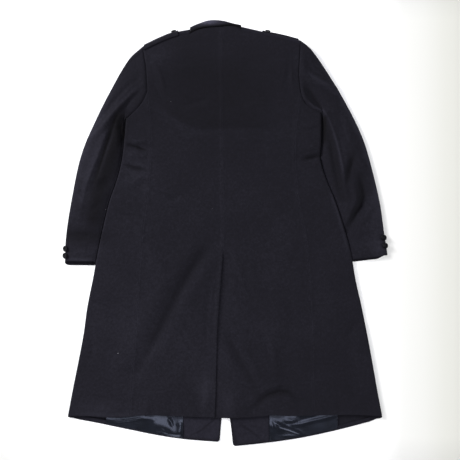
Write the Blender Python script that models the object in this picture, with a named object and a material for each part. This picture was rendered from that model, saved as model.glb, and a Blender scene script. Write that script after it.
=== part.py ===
# A double-breasted officer's overcoat, laid flat on its buttoned front with its back up.
#
# Metres, +Z up, +Y towards the collar, +X towards the wearer's right. The coat rests on z = 0.
# Its body is a flattened tube of six panels: two backs and two side bodies, which turn over the
# side edges, and two fronts, which turn over the shoulders. Every panel is a wall made from rows
# of outer points, each with the direction that faces out, and its inner points lie one thickness
# further in. Panels that meet share the points of their seam, and each stops half a seam short.
from bisect import bisect_right
from collections import namedtuple
from math import cos, exp, hypot, pi, radians, sin

import bmesh
import bpy
from mathutils import Matrix, Vector

for old_object in list(bpy.data.objects):
    bpy.data.objects.remove(old_object, do_unlink=True)

MM = 0.001
LEFT = -1
RIGHT = 1

# Cloth, seams and clear ways
CLOTH = 2.2 * MM
SATIN = 1.0 * MM
SEAM = 0.4 * MM
EASE = 0.3 * MM
LAP_EASE = 1.0 * MM
LAP_MARGIN = 60 * MM
SHARP_ANGLE = 50

# Number of cells along the panels
SKIRT_ROWS = 26
YOKE_ROWS = 6
UNDERARM_CELLS = 4
SHOULDER_CELLS = 7
NECK_CELLS = 4
SIDE_TURN_CELLS = 5
SHOULDER_TURN_CELLS = 6
SLEEVE_ROWS = 15
COLLAR_TURN_CELLS = 5
COLLAR_FALL_CELLS = 3
FINISH_ROWS = 3
FACING_CELLS = 5
LINING_CELLS = 9
TURNUP_CELLS = 12
EPAULETTE_CELLS = 8
EPAULETTE_TURN_CELLS = 6
BUTTON_SIDES = 14

# How far the cloth turns over an edge, seen from above
SIDE_TURN = 6.0 * MM
SHOULDER_TURN = 12.0 * MM
SLEEVE_TURN = 5.5 * MM
SLEEVE_CLEAR = 2.2 * MM
COLLAR_TURN = 8.0 * MM

# Where the side and centre seams meet the hem, and the centre seam meets the collar
HEM_Y = -545 * MM
CENTRE_HEM_X = -33 * MM
CENTRE_NECK_Y = 618 * MM

# Level sections of the body, from the back hem to the armhole
BodySection = namedtuple("BodySection", "y left_edge left_seam centre right_seam right_edge")
BODY = [BodySection(*row) for row in (
    (-545, -472, -286, -33, 264, 468),
    (-460, -456, -280, -30, 262, 452),
    (-380, -440, -275, -28, 261, 438),
    (-300, -425, -268, -26, 258, 423),
    (-220, -414, -263, -21, 255, 407),
    (-140, -398, -259, -15, 252, 389),
    (-60, -383, -253, -9, 245, 375),
    (20, -366, -246, -8, 234, 353),
    (100, -346, -235, -9, 217, 326),
    (160, -325, -229, -10, 210, 301),
    (220, -310, -225, -10, 206, 283),
    (280, -303, -223, -11, 207, 285),
    (342, -298, -225, -11, 211, 286),
    (423, -298, -234, -12, 224, 286),
    (620, -298, -234, -13, 224, 286),
)]

# Height of the back above the table, at the side edges and along the middle
BackHeight = namedtuple("BackHeight", "y side middle")
BACK_HEIGHTS = [BackHeight(*row) for row in (
    (-550, 12.0, 13.0),
    (-500, 12.2, 14.2),
    (-400, 12.5, 16.0),
    (-200, 12.5, 17.0),
    (0, 14.0, 18.5),
    (150, 16.0, 20.0),
    (260, 18.0, 22.0),
    (342, 20.0, 24.0),
    (450, 25.0, 26.0),
    (540, 28.0, 27.0),
    (640, 28.0, 26.0),
)]
CROWN_POWER = 2.2
PAD_RISE = 4.0 * MM
PAD_REACH = 62 * MM
PADS = ((-190 * MM, 500 * MM), (168 * MM, 512 * MM))

# The largest folds: rise is up for a ridge and down for a trough, reach is half its width
Fold = namedtuple("Fold", "name rise reach path")
FOLDS = [Fold(*row) for row in (
    ("left skirt trough", -4.0, 22, ((-67, -60), (-136, -156), (-181, -234), (-223, -330), (-268, -417))),
    ("left skirt ridge", 2.6, 24, ((-100, -40), (-176, -140), (-226, -226), (-270, -320), (-318, -400))),
    ("trough by the vent", -3.0, 20, ((10, -330), (45, -408), (70, -477))),
    ("arch by the hem", -2.4, 18, ((79, -528), (115, -486), (166, -459), (219, -503))),
    ("right skirt ridge", 2.4, 22, ((141, -300), (145, -370), (150, -452))),
    ("right side trough", -2.6, 24, ((395, -250), (372, -350), (386, -470))),
    ("left hem ridge", 2.0, 20, ((-424, -505), (-360, -515), (-296, -500))),
    ("cross back crease", -2.2, 17, ((-216, 350), (-163, 324), (-94, 302), (-25, 306), (43, 318), (184, 297))),
    ("left armpit crease", -2.4, 13, ((-288, 257), (-223, 255))),
    ("left waist crease", -2.0, 14, ((-300, 165), (-232, 150), (-150, 112))),
    ("right armpit crease", -2.6, 14, ((274, 226), (216, 222))),
    ("left sleeve ridge", 3.2, 17, ((-322, 372), (-366, 322), (-412, 272))),
    ("left sleeve trough", -3.0, 16, ((-322, 330), (-352, 280), (-384, 236))),
    ("left elbow trough", -2.6, 15, ((-352, 150), (-384, 128), (-424, 120))),
    ("left cuff trough", -2.0, 11, ((-392, -12), (-430, -18), (-466, -12))),
    ("right sleeve ridge", 3.4, 17, ((232, 500), (276, 470), (322, 436))),
    ("right sleeve trough", -3.4, 15, ((248, 434), (272, 408), (292, 378))),
    ("right elbow trough", -3.2, 14, ((368, 166), (380, 196), (394, 230))),
    ("right forearm trough", -3.0, 15, ((409, 168), (427, 114), (402, 76), (364, 6))),
    ("right elbow ridge", 2.6, 14, ((384, 150), (392, 118), (380, 84))),
)]

# The armhole seam, from its pitch point, where the side back seam ends
ARMHOLE_UP = {
    LEFT: ((-234, 423), (-235, 459), (-238, 501), (-247, 558)),
    RIGHT: ((224, 423), (218, 471), (220, 519), (223, 576)),
}
ARMHOLE_DOWN = {
    LEFT: ((-234, 423), (-250, 390), (-274, 363), (-298, 342)),
    RIGHT: ((224, 423), (236, 391), (260, 372), (286, 360)),
}

# The shoulder from the armhole to the neck, and the neck seam from the neck point to the middle
SHOULDER = {
    LEFT: ((-247, 558), (-197, 582), (-151, 600), (-106, 609)),
    RIGHT: ((223, 576), (170, 590), (116, 601), (46, 617)),
}
NECK = {
    LEFT: ((-106, 597), (-86, 608), (-60, 614), (-13, 618)),
    RIGHT: ((46, 605), (34, 614), (14, 619), (-13, 618)),
}
COLLAR_ROLL = ((-106, 615), (-92, 622), (-76, 628), (-55, 635), (-31, 637), (-4, 635), (22, 629), (46, 621))
COLLAR_FALL = 66 * MM
COLLAR_SPREAD = 0.22
COLLAR_STAND_SHARE = 0.6
COLLAR_STAND_RISE = 0.4 * MM

# Hems: the back's edge, and each front's, which hangs lower and parts at the middle
BACK_HEM = (
    (-472, -545), (-406, -545), (-358, -549), (-316, -548), (-286, -546), (-244, -542), (-151, -545),
    (-33, -549), (18, -550), (103, -545), (136, -542), (205, -544), (264, -543), (313, -542),
    (385, -541), (468, -545),
)
FRONT_HEM = {
    LEFT: ((-472, -545), (-436, -555), (-382, -567), (-286, -587), (-196, -605), (-118, -616), (-18, -624)),
    RIGHT: ((26, -637), (118, -627), (205, -615), (268, -603), (346, -585), (415, -567), (468, -545)),
}

# Front edges, which turn into the roll lines of the lapels above the top buttons
FrontEdge = namedtuple("FrontEdge", "y left right")
FRONT_EDGES = [FrontEdge(*row) for row in (
    (-637, -19, 26),
    (-552, -12, 12),
    (-177, 31, -55),
    (99, 58, -100),
    (215, 57, -90),
    (400, -21, -23),
    (600, -106, 46),
)]
LAP_LOW_Y = -515 * MM
LAP_FULL_Y = -465 * MM

# Lapels, turned back along the front edges and cut off below the collar
LAPELS = {
    LEFT: ((46, 222), (-20, 252), (-150, 480), (-118, 508), (-98, 530), (-92, 545)),
    RIGHT: ((-6, 412), (50, 300), (122, 470), (96, 500), (70, 524), (40, 535)),
}

# Sleeves: the outer edge from the shoulder to the cuff, and the heights along them
SLEEVE_EDGE = {
    LEFT: ((-247, 558), (-289, 519), (-346, 423), (-394, 327), (-433, 231), (-459, 111), (-477, -3), (-481, -82)),
    RIGHT: ((223, 576), (256, 548), (310, 471), (367, 375), (412, 279), (440, 183), (462, 87), (473, 9), (484, -64)),
}
CUFF_INNER_Y = {LEFT: -84 * MM, RIGHT: -77 * MM}
CUFF_LAP = {LEFT: 12 * MM, RIGHT: 8 * MM}
CUFF_LAP_SHARE = 0.9
CUFF_LAP_CELLS = 3
UNDERARM_EASING = 1.35
UNDERARM_TURN = 1.0 * MM
EDGE_STEP = 10 * MM
EDGE_SHARE_STEP = 0.02
HINDARM_STRIP = 4 * MM

# Shares of the sleeve's length in which its head settles to a plain tube
HEAD_SHARE = 0.12
HEAD_BULGE_SHARE = 0.24
HEAD_BULGE_LEAST = 0.03
EVEN_CELLS_FROM = 0.1
EVEN_CELLS_TO = 0.4
SLEEVE_CROWN_POWER = 0.8
SleeveRing = namedtuple("SleeveRing", "points out_way out_turn in_way in_turn")
SleeveHeight = namedtuple("SleeveHeight", "share outer crown inner")
SLEEVE_HEIGHTS = [SleeveHeight(*row) for row in (
    (0.00, 28.0, 28.0, 20.0),
    (0.10, 21.0, 26.0, 12.0),
    (0.28, 15.0, 24.0, 10.0),
    (0.55, 12.5, 21.0, 10.0),
    (0.80, 11.5, 18.0, 10.0),
    (0.93, 11.0, 15.0, 10.0),
    (1.00, 11.5, 15.0, 10.5),
)]

# The chest's underside is raised over the lapels, the collar's fall and the front buttons
CHEST_LIFT = 4.5 * MM
Lift = namedtuple("Lift", "left_none left_full right_full right_none low_none low_full")
LIFTS = [Lift(*row) for row in (
    (-300, -160, 120, 260, -240, -120),
    (-380, -270, 250, 360, 340, 450),
)]

# Vent: the left back laps over the right back's extension
VENT_TOP = -42 * MM
VENT_EXTENSION = 38 * MM
VENT_BLEND = 44 * MM
EXTENSION_TOP = VENT_TOP - 43 * MM
EXTENSION_SLOPE = 35 * MM
VENT_DROP_SLOPE = 36 * MM
VENT_DROP_EDGE = 4 * MM

# Finishing inside the fronts, as far as it shows below the back hem
FACING_EDGE = {LEFT: -127.5 * MM, RIGHT: 130.5 * MM}
SATIN_EDGE = {LEFT: -358 * MM, RIGHT: 334 * MM}
TURNUP_EDGE = {LEFT: -440 * MM, RIGHT: 432 * MM}
FINISH_TOP = -530 * MM
TURNUP = 13 * MM
HEM_INSET = 1.5 * MM
LINING_PUFF = 1.3 * MM
PUFF_TURN = 1.9
PUFF_FADE = 12 * MM

# Epaulettes, as shares of the shoulder and degrees round its turn
EPAULETTE_SHARES = {LEFT: (0.03, 0.76), RIGHT: (0.03, 0.64)}
EPAULETTE_ANGLES = {LEFT: (0, 180), RIGHT: (66, 180)}
EPAULETTE_OVER = {LEFT: 14 * MM, RIGHT: 0}
EPAULETTE_UNDER = {LEFT: 10 * MM, RIGHT: 26 * MM}
EPAULETTE_CLOTH = 2.8 * MM
EPAULETTE_EASE = 0.6 * MM

# Buttons, and a turned button's profile as shares of its radius and height
CUFF_BUTTON_RADIUS = 8.8 * MM
CUFF_BUTTON_HEIGHT = 4.0 * MM
FRONT_BUTTON_RADIUS = 14 * MM
FRONT_BUTTON_HEIGHT = 3.6 * MM
EPAULETTE_BUTTON_RADIUS = 8.0 * MM
EPAULETTE_BUTTON_HEIGHT = 3.0 * MM
EPAULETTE_BUTTON_BACK = 0.09
EPAULETTE_BUTTON_SPAN = 0.06
ButtonPoint = namedtuple("ButtonPoint", "across up")
BUTTON_PROFILE = [ButtonPoint(*row) for row in (
    (0.00, 0.00),
    (0.82, 0.00),
    (1.00, 0.45),
    (0.90, 1.00),
    (0.74, 0.96),
    (0.60, 0.68),
    (0.00, 0.64),
)]
CuffButton = namedtuple("CuffButton", "side number y tilt")
CUFF_BUTTONS = [CuffButton(*row) for row in (
    (LEFT, 1, -66, 50),
    (LEFT, 2, -45, 52),
    (RIGHT, 1, -36, 76),
    (RIGHT, 2, -12, 80),
)]
FRONT_BUTTON_COLUMNS = {"inner": -78 * MM, "edge": 30 * MM}
FRONT_BUTTON_ROWS = (150 * MM, 30 * MM, -90 * MM)

NAMES = {LEFT: "left", RIGHT: "right"}
UP = Vector((0, 0, 1))
DOWN = Vector((0, 0, -1))


# Curves and blends

def mix(a, b, share):
    return a + (b - a) * share


def ramp(value, low, high):
    """Rise smoothly from 0 at low to 1 at high."""
    share = min(max((value - low) / (high - low), 0.0), 1.0)
    return share * share * (3 - 2 * share)


def follow(places, values, place):
    """Read a smooth curve through values at rising places."""
    place = min(max(place, places[0]), places[-1])
    first = min(max(bisect_right(places, place) - 1, 0), len(places) - 2)
    last = first + 1
    step = places[last] - places[first]
    share = (place - places[first]) / step
    before = max(first - 1, 0)
    after = min(last + 1, len(places) - 1)
    slope_in = (values[last] - values[before]) / (places[last] - places[before]) * step
    slope_out = (values[after] - values[first]) / (places[after] - places[first]) * step
    square = share * share
    cube = square * share
    return (values[first] * (2 * cube - 3 * square + 1) + slope_in * (cube - 2 * square + share)
            + values[last] * (3 * square - 2 * cube) + slope_out * (cube - square))


def read(rows, column, place):
    """Read a named column of a table in millimetres at a place along its first column, in metres."""
    places = [row[0] for row in rows]
    return follow(places, [getattr(row, column) for row in rows], place / MM) * MM


def walk(points, share):
    """The plan point at a share of the length of the smooth line through points in metres."""
    lengths = [0.0]
    for a, b in zip(points, points[1:]):
        lengths.append(lengths[-1] + hypot(b[0] - a[0], b[1] - a[1]))
    place = share * lengths[-1]
    return (follow(lengths, [p[0] for p in points], place), follow(lengths, [p[1] for p in points], place))


def metres(points):
    return [(x * MM, y * MM) for x, y in points]


def hem_y(points, x):
    return follow([p[0] for p in points], [p[1] for p in points], x / MM) * MM


def patch(low, high, first, last):
    """Fill the plan between four edges: low and high run along columns, first and last along rows."""
    rows = []
    top = len(first) - 1
    side = len(low) - 1
    start = first[0][1]
    span = first[top][1] - start
    for i in range(top + 1):
        v = (first[i][1] - start) / span
        row = []
        for j in range(side + 1):
            u = j / side
            point = []
            for axis in (0, 1):
                across = mix(first[i][axis], last[i][axis], u)
                along = mix(low[j][axis], high[j][axis], v)
                corners = mix(mix(low[0][axis], low[side][axis], u), mix(high[0][axis], high[side][axis], u), v)
                point.append(across + along - corners)
            row.append(tuple(point))
        rows.append(row)
    return rows


# Heights of the lying coat

def fold_rise(x, y):
    """Sum of the ridges and troughs at a plan point."""
    total = 0.0
    for fold in FOLDS:
        path = metres(fold.path)
        reach = fold.reach * MM
        strength = 0.0
        for a, b in zip(path, path[1:]):
            run = (b[0] - a[0], b[1] - a[1])
            length = hypot(*run)
            along = ((x - a[0]) * run[0] + (y - a[1]) * run[1]) / length
            past = max(-along, along - length, 0.0)
            across = abs((x - a[0]) * run[1] - (y - a[1]) * run[0]) / length
            strength = max(strength, exp(-(across * across + past * past) / (reach * reach)))
        total += fold.rise * MM * strength
    return total


def back_height(x, y):
    """Height of the back's outer face."""
    left = read(BODY, "left_edge", y)
    right = read(BODY, "right_edge", y)
    across = min(abs((2 * x - left - right) / (right - left)), 1.0)
    side = read(BACK_HEIGHTS, "side", y)
    middle = read(BACK_HEIGHTS, "middle", y)
    height = mix(middle, side, across ** CROWN_POWER)
    for pad_x, pad_y in PADS:
        height += PAD_RISE * exp(-((x - pad_x) ** 2 + (y - pad_y) ** 2) / PAD_REACH ** 2)
    return height + fold_rise(x, y)


def under_height(x, y):
    """Height of the underside's outer face: the table, or the lift over the lapels and buttons."""
    flat = 1.0
    for lift in LIFTS:
        across = x / MM
        left = ramp(across, lift.left_none, lift.left_full)
        right = 1 - ramp(across, lift.right_full, lift.right_none)
        flat *= 1 - left * right * ramp(y / MM, lift.low_none, lift.low_full)
    return CHEST_LIFT * (1 - flat)


def front_height(side, x, y):
    """Height of a front's outer face: the right front lies on the left one where they lap."""
    height = under_height(x, y)
    if side == RIGHT:
        left_edge = read(FRONT_EDGES, "left", y)
        lapped = 1 - ramp(x, left_edge + LAP_MARGIN, left_edge + 2 * LAP_MARGIN)
        height += (CLOTH + LAP_EASE) * lapped * ramp(y, LAP_LOW_Y, LAP_FULL_Y)
    return height


# Turning rows of points into a solid wall

def turn_point(inner, toward, reach, top, bottom, angle):
    """A point on the turn of an edge: angle 0 faces up, 90 faces out and 180 faces down."""
    middle = (top + bottom) / 2
    half = (top - bottom) / 2
    out = Vector((toward[0] * sin(angle), toward[1] * sin(angle), cos(angle)))
    x = inner[0] + toward[0] * reach * sin(angle)
    y = inner[1] + toward[1] * reach * sin(angle)
    return (Vector((x, y, middle + half * cos(angle))), out)


def trimmed(grid):
    """Pull the rim of a grid in by half a seam."""
    last_row = len(grid) - 1
    last_column = len(grid[0]) - 1
    points = [[Vector(spot[0]) for spot in row] for row in grid]
    for i in range(last_row + 1):
        for j, inner in ((0, 1), (last_column, last_column - 1)):
            points[i][j] += (grid[i][inner][0] - grid[i][j][0]).normalized() * SEAM / 2
    for j in range(last_column + 1):
        for i, inner in ((0, 1), (last_row, last_row - 1)):
            points[i][j] += (grid[inner][j][0] - grid[i][j][0]).normalized() * SEAM / 2
    return [[(points[i][j], grid[i][j][1]) for j in range(last_column + 1)] for i in range(last_row + 1)]


def solid_wall(name, grid, thickness, finish):
    """Close a grid of (outer point, direction out) into a wall of cloth."""
    mesh = bmesh.new()
    grid = trimmed(grid)
    outer = [[mesh.verts.new(point) for point, out in row] for row in grid]
    inner = [[mesh.verts.new(point - out * thickness) for point, out in row] for row in grid]
    for i in range(len(grid) - 1):
        for j in range(len(grid[0]) - 1):
            for sheet in (outer, inner):
                mesh.faces.new((sheet[i][j], sheet[i][j + 1], sheet[i + 1][j + 1], sheet[i + 1][j]))
    rim = [(0, j) for j in range(len(grid[0]))]
    rim += [(i, len(grid[0]) - 1) for i in range(1, len(grid))]
    rim += [(len(grid) - 1, j) for j in range(len(grid[0]) - 2, -1, -1)]
    rim += [(i, 0) for i in range(len(grid) - 2, 0, -1)]
    for (i, j), (k, m) in zip(rim, rim[1:] + rim[:1]):
        mesh.faces.new((outer[i][j], outer[k][m], inner[k][m], inner[i][j]))
    return finished(name, mesh, finish)


def finished(name, mesh, finish):
    """Make an object with its own material from a closed mesh."""
    bmesh.ops.recalc_face_normals(mesh, faces=mesh.faces)
    data = bpy.data.meshes.new(name)
    mesh.to_mesh(data)
    mesh.free()
    piece = bpy.data.objects.new(name, data)
    bpy.context.scene.collection.objects.link(piece)
    data.shade_smooth()
    data.set_sharp_from_angle(angle=radians(SHARP_ANGLE))
    material = bpy.data.materials.new(name + "_" + finish.name)
    material.use_nodes = True
    shader = material.node_tree.nodes["Principled BSDF"]
    shader.inputs["Base Color"].default_value = finish.color
    shader.inputs["Roughness"].default_value = finish.roughness
    shader.inputs["Sheen Weight"].default_value = finish.sheen
    data.materials.append(material)
    return piece


Finish = namedtuple("Finish", "name color roughness sheen")
MELTON = Finish("wool_melton", (0.015, 0.014, 0.022, 1), 0.9, 0.3)
LINING = Finish("satin", (0.030, 0.036, 0.055, 1), 0.35, 0.1)
HORN = Finish("button", (0.010, 0.010, 0.014, 1), 0.25, 0.0)


# Shared seam points

def pitch(side):
    return metres(ARMHOLE_UP[side])[0]


def underarm(side):
    return metres(ARMHOLE_DOWN[side])[-1]


def seam_foot(side):
    """Where the side back seam meets the hem."""
    return read(BODY, NAMES[side] + "_seam", HEM_Y)


def front_foot(side):
    """Where a front's edge meets its hem."""
    rows = FRONT_HEM[side]
    return (rows[-1][0] if side == LEFT else rows[0][0]) * MM


def seam_points(side, low_y):
    """The side back seam, or the one below it on the front, from a hem up to the pitch point."""
    points = []
    for row in range(SKIRT_ROWS + 1):
        y = mix(low_y, pitch(side)[1], row / SKIRT_ROWS)
        points.append((read(BODY, NAMES[side] + "_seam", y), y))
    return points


def edge_points(side):
    """The side edge from the hem up to the underarm, one turn inside the outline."""
    points = []
    for row in range(SKIRT_ROWS + 1):
        y = mix(HEM_Y, underarm(side)[1], row / SKIRT_ROWS)
        points.append((read(BODY, NAMES[side] + "_edge", y) - side * SIDE_TURN, y))
    return points


def upper_armhole(side):
    """The armhole from the pitch point up to the start of the shoulder's turn."""
    line = metres(ARMHOLE_UP[side])
    line[-1] = (line[-1][0], line[-1][1] - SHOULDER_TURN)
    return [walk(line, row / YOKE_ROWS) for row in range(YOKE_ROWS + 1)]


def lower_armhole(side):
    """The armhole from the pitch point down to the start of the side edge's turn."""
    line = metres(ARMHOLE_DOWN[side])
    line[-1] = (line[-1][0] - side * SIDE_TURN, line[-1][1])
    return [walk(line, cell / UNDERARM_CELLS) for cell in range(UNDERARM_CELLS + 1)]


def shoulder_line(side):
    """The shoulder seam, one turn inside the outline, from the armhole to the neck."""
    line = metres(SHOULDER[side])
    points = [walk(line, cell / SHOULDER_CELLS) for cell in range(SHOULDER_CELLS + 1)]
    return [(x, y - SHOULDER_TURN) for x, y in points]


def neck_line(side):
    line = metres(NECK[side])
    return [walk(line, cell / NECK_CELLS) for cell in range(NECK_CELLS + 1)]


def hem_points(table, first_x, last_x, cells):
    return [(mix(first_x, last_x, cell / cells), hem_y(table, mix(first_x, last_x, cell / cells)))
            for cell in range(cells + 1)]


def back_rows(side):
    """The outer boundary of a back, from its hem up the side seam and the armhole."""
    return seam_points(side, hem_y(BACK_HEM, seam_foot(side))) + upper_armhole(side)[1:]


def centre_points(side):
    """The centre back seam, and below the vent's top the free edge of each back."""
    points = []
    rows = back_rows(LEFT)
    low = rows[0][1]
    high = rows[-1][1]
    for row in rows:
        y = mix(hem_y(BACK_HEM, CENTRE_HEM_X), CENTRE_NECK_Y, (row[1] - low) / (high - low))
        x = read(BODY, "centre", y)
        if side == RIGHT:
            x -= VENT_EXTENSION * (1 - ramp(y, EXTENSION_TOP - EXTENSION_SLOPE, EXTENSION_TOP))
        points.append((x, y))
    return points


# The panels of the body

def make_back(side):
    """One half of the back, from the side seam to the middle."""
    outer_edge = back_rows(side)
    middle = centre_points(side)
    cells = SHOULDER_CELLS + NECK_CELLS
    low = hem_points(BACK_HEM, outer_edge[0][0], middle[0][0], cells)
    high = shoulder_line(side) + neck_line(side)[1:]
    grid = []
    for row in patch(low, high, outer_edge, middle):
        spots = []
        for x, y in row:
            z = back_height(x, y)
            if side == RIGHT:
                edge = read(BODY, "centre", y)
                below = 1 - ramp(y, VENT_TOP - VENT_DROP_SLOPE, VENT_TOP)
                z -= (CLOTH + LAP_EASE) * below * (1 - ramp(x, edge + VENT_DROP_EDGE, edge + VENT_BLEND))
            spots.append((Vector((x, y, z)), UP))
        grid.append(spots)
    solid_wall("back_" + NAMES[side], grid, CLOTH, MELTON)


def make_side_body(side):
    """The side body, from the side back seam over the side edge to the seam on the front."""
    edge = edge_points(side)
    seam_x = seam_foot(side)
    seam_up = seam_points(side, hem_y(BACK_HEM, seam_x))
    seam_down = seam_points(side, hem_y(FRONT_HEM[side], seam_x))
    armhole = lower_armhole(side)
    hem_up = hem_points(BACK_HEM, seam_x, edge[0][0], UNDERARM_CELLS)
    hem_down = hem_points(FRONT_HEM[side], seam_x, edge[0][0], UNDERARM_CELLS)
    hem_down[-1] = edge[0]
    above = patch(hem_up, armhole, seam_up, edge)
    below = patch(hem_down, armhole, seam_down, edge)
    grid = []
    for row in range(SKIRT_ROWS + 1):
        spots = [(Vector((x, y, back_height(x, y))), UP) for x, y in above[row]]
        turn_start = edge[row]
        top = back_height(*turn_start)
        bottom = under_height(*turn_start)
        for step in range(1, SIDE_TURN_CELLS):
            angle = pi * step / SIDE_TURN_CELLS
            spots.append(turn_point(turn_start, (side, 0), SIDE_TURN, top, bottom, angle))
        spots += [(Vector((x, y, under_height(x, y))), DOWN) for x, y in reversed(below[row])]
        grid.append(spots)
    solid_wall("side_body_" + NAMES[side], grid, CLOTH, MELTON)


def shoulder_turn(side, share, angle, lift=0.0):
    """A point on the shoulder's turn: share runs from the armhole to the neck."""
    x, y = walk(metres(SHOULDER[side]), share)
    inner = (x, y - SHOULDER_TURN)
    top = back_height(*inner)
    bottom = front_height(side, *inner)
    point, out = turn_point(inner, (0, 1), SHOULDER_TURN, top, bottom, angle)
    return (point + out * lift, out)


def make_front(side):
    """A front, from its hem up to the shoulder and over it to the shoulder seam."""
    seam_x = seam_foot(side)
    outer_edge = seam_points(side, hem_y(FRONT_HEM[side], seam_x)) + upper_armhole(side)[1:]
    high = shoulder_line(side)
    low = hem_points(FRONT_HEM[side], seam_x, front_foot(side), SHOULDER_CELLS)
    inner_edge = []
    for x, y in outer_edge:
        share = (y - outer_edge[0][1]) / (outer_edge[-1][1] - outer_edge[0][1])
        inner_y = mix(low[-1][1], high[-1][1], share)
        inner_edge.append((read(FRONT_EDGES, NAMES[side], inner_y), inner_y))
    low[-1] = inner_edge[0]
    inner_edge[-1] = high[-1]
    grid = [[(Vector((x, y, front_height(side, x, y))), DOWN) for x, y in row]
            for row in patch(low, high, outer_edge, inner_edge)]
    for step in range(1, SHOULDER_TURN_CELLS + 1):
        angle = pi * (1 - step / SHOULDER_TURN_CELLS)
        grid.append([shoulder_turn(side, cell / SHOULDER_CELLS, angle) for cell in range(SHOULDER_CELLS + 1)])
    solid_wall("front_" + NAMES[side], grid, CLOTH, MELTON)


# Sleeves

def sleeve_ring(side, share):
    """Plan points across the flat sleeve, and how far and which way its two edges turn."""
    turned = ramp(share, 0.0, HEAD_SHARE)
    outline = metres(SLEEVE_EDGE[side])
    outer = Vector(walk(outline, share))
    above = Vector(walk(outline, max(share - EDGE_SHARE_STEP, 0.0)))
    below = Vector(walk(outline, min(share + EDGE_SHARE_STEP, 1.0)))
    square_out = Vector((above.y - below.y, below.x - above.x)).normalized() * side
    out_way = mix(Vector((0, 1)), square_out, turned).normalized()
    out_turn = mix(SHOULDER_TURN, SLEEVE_TURN, turned)
    inner_y = mix(underarm(side)[1], CUFF_INNER_Y[side], share ** UNDERARM_EASING)
    body_x = read(BODY, NAMES[side] + "_edge", inner_y)
    inner = Vector((body_x + side * SLEEVE_CLEAR, inner_y))
    slant = (read(BODY, NAMES[side] + "_edge", inner_y + EDGE_STEP) - body_x) / EDGE_STEP
    in_way = Vector((-side, side * slant)).normalized()
    in_turn = mix(UNDERARM_TURN, SLEEVE_TURN, turned)
    start = outer - out_way * out_turn
    end = inner - in_way * in_turn
    points = [Vector(point) for point in armhole_points(side)]
    lengths = [0.0]
    for a, b in zip(points, points[1:]):
        lengths.append(lengths[-1] + (b - a).length)
    ring = []
    for number, point in enumerate(points):
        near = lengths[number] / lengths[-1]
        place = mix(near, number / (len(points) - 1), ramp(share, EVEN_CELLS_FROM, EVEN_CELLS_TO))
        fade = max(0.0, 1 - share / (HEAD_BULGE_SHARE * (1 - near) + HEAD_BULGE_LEAST)) ** 2
        bulge = (point - mix(points[0], points[-1], near)) * fade
        ring.append(mix(start, end, place) + bulge)
    return SleeveRing(ring, out_way, out_turn, in_way, in_turn)


def armhole_points(side):
    """The armhole seam from the shoulder down to the sleeve's own inner turn."""
    points = list(reversed(upper_armhole(side))) + lower_armhole(side)[1:]
    x, y = underarm(side)
    points[-1] = (x + side * (SLEEVE_CLEAR + UNDERARM_TURN), y)
    return points


def sleeve_height(side, share, across, x, y):
    """Height of the sleeve's upper face."""
    outer = read_sleeve("outer", share)
    inner = read_sleeve("inner", share)
    crown = read_sleeve("crown", share)
    base = mix(outer, inner, across)
    bulge = (4 * across * (1 - across)) ** SLEEVE_CROWN_POWER
    height = mix(base, crown, bulge) + fold_rise(x, y)
    return mix(back_height(x, y), height, ramp(share, 0.0, HEAD_SHARE))


def read_sleeve(column, share):
    places = [row.share for row in SLEEVE_HEIGHTS]
    return follow(places, [getattr(row, column) for row in SLEEVE_HEIGHTS], share) * MM


def make_sleeve(side):
    """The two halves of a sleeve, joined along the hindarm seam above and the forearm seam below."""
    cells = YOKE_ROWS + UNDERARM_CELLS
    under_grid = []
    top_grid = []
    for row in range(SLEEVE_ROWS + 1):
        share = row / SLEEVE_ROWS
        ring, out_way, out_turn, in_way, in_turn = sleeve_ring(side, share)
        lap_down = CUFF_LAP[side] * ramp(share, CUFF_LAP_SHARE, 1.0)
        above = []
        below = []
        for number, point in enumerate(ring):
            x, y = point
            z = sleeve_height(side, share, number / cells, x, y)
            above.append((Vector((x, y, z)), UP))
            lap = lap_down * ramp(number, 0, CUFF_LAP_CELLS)
            below.append((Vector((x, y - lap, under_height(x, y))), DOWN))
        strip = mix(above[0][0], above[1][0], HINDARM_STRIP / (above[1][0] - above[0][0]).length)
        inner_turn = []
        outer_turn = []
        for step in range(1, SIDE_TURN_CELLS):
            angle = pi * step / SIDE_TURN_CELLS
            bottom = below[-1][0].z
            spot = turn_point(ring[-1], in_way, in_turn, above[-1][0].z, bottom, angle)
            spot[0].y -= lap_down * step / SIDE_TURN_CELLS
            inner_turn.append(spot)
            outer_turn.append(turn_point(ring[0], out_way, out_turn, above[0][0].z, below[0][0].z, angle))
        under_grid.append([(strip, UP)] + above[1:] + inner_turn + [below[-1], below[-2]])
        top_grid.append([(strip, UP), above[0]] + outer_turn + below[:-1])
    solid_wall("undersleeve_" + NAMES[side], under_grid, CLOTH, MELTON)
    solid_wall("topsleeve_" + NAMES[side], top_grid, CLOTH, MELTON)


# Collar and lapels

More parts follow.
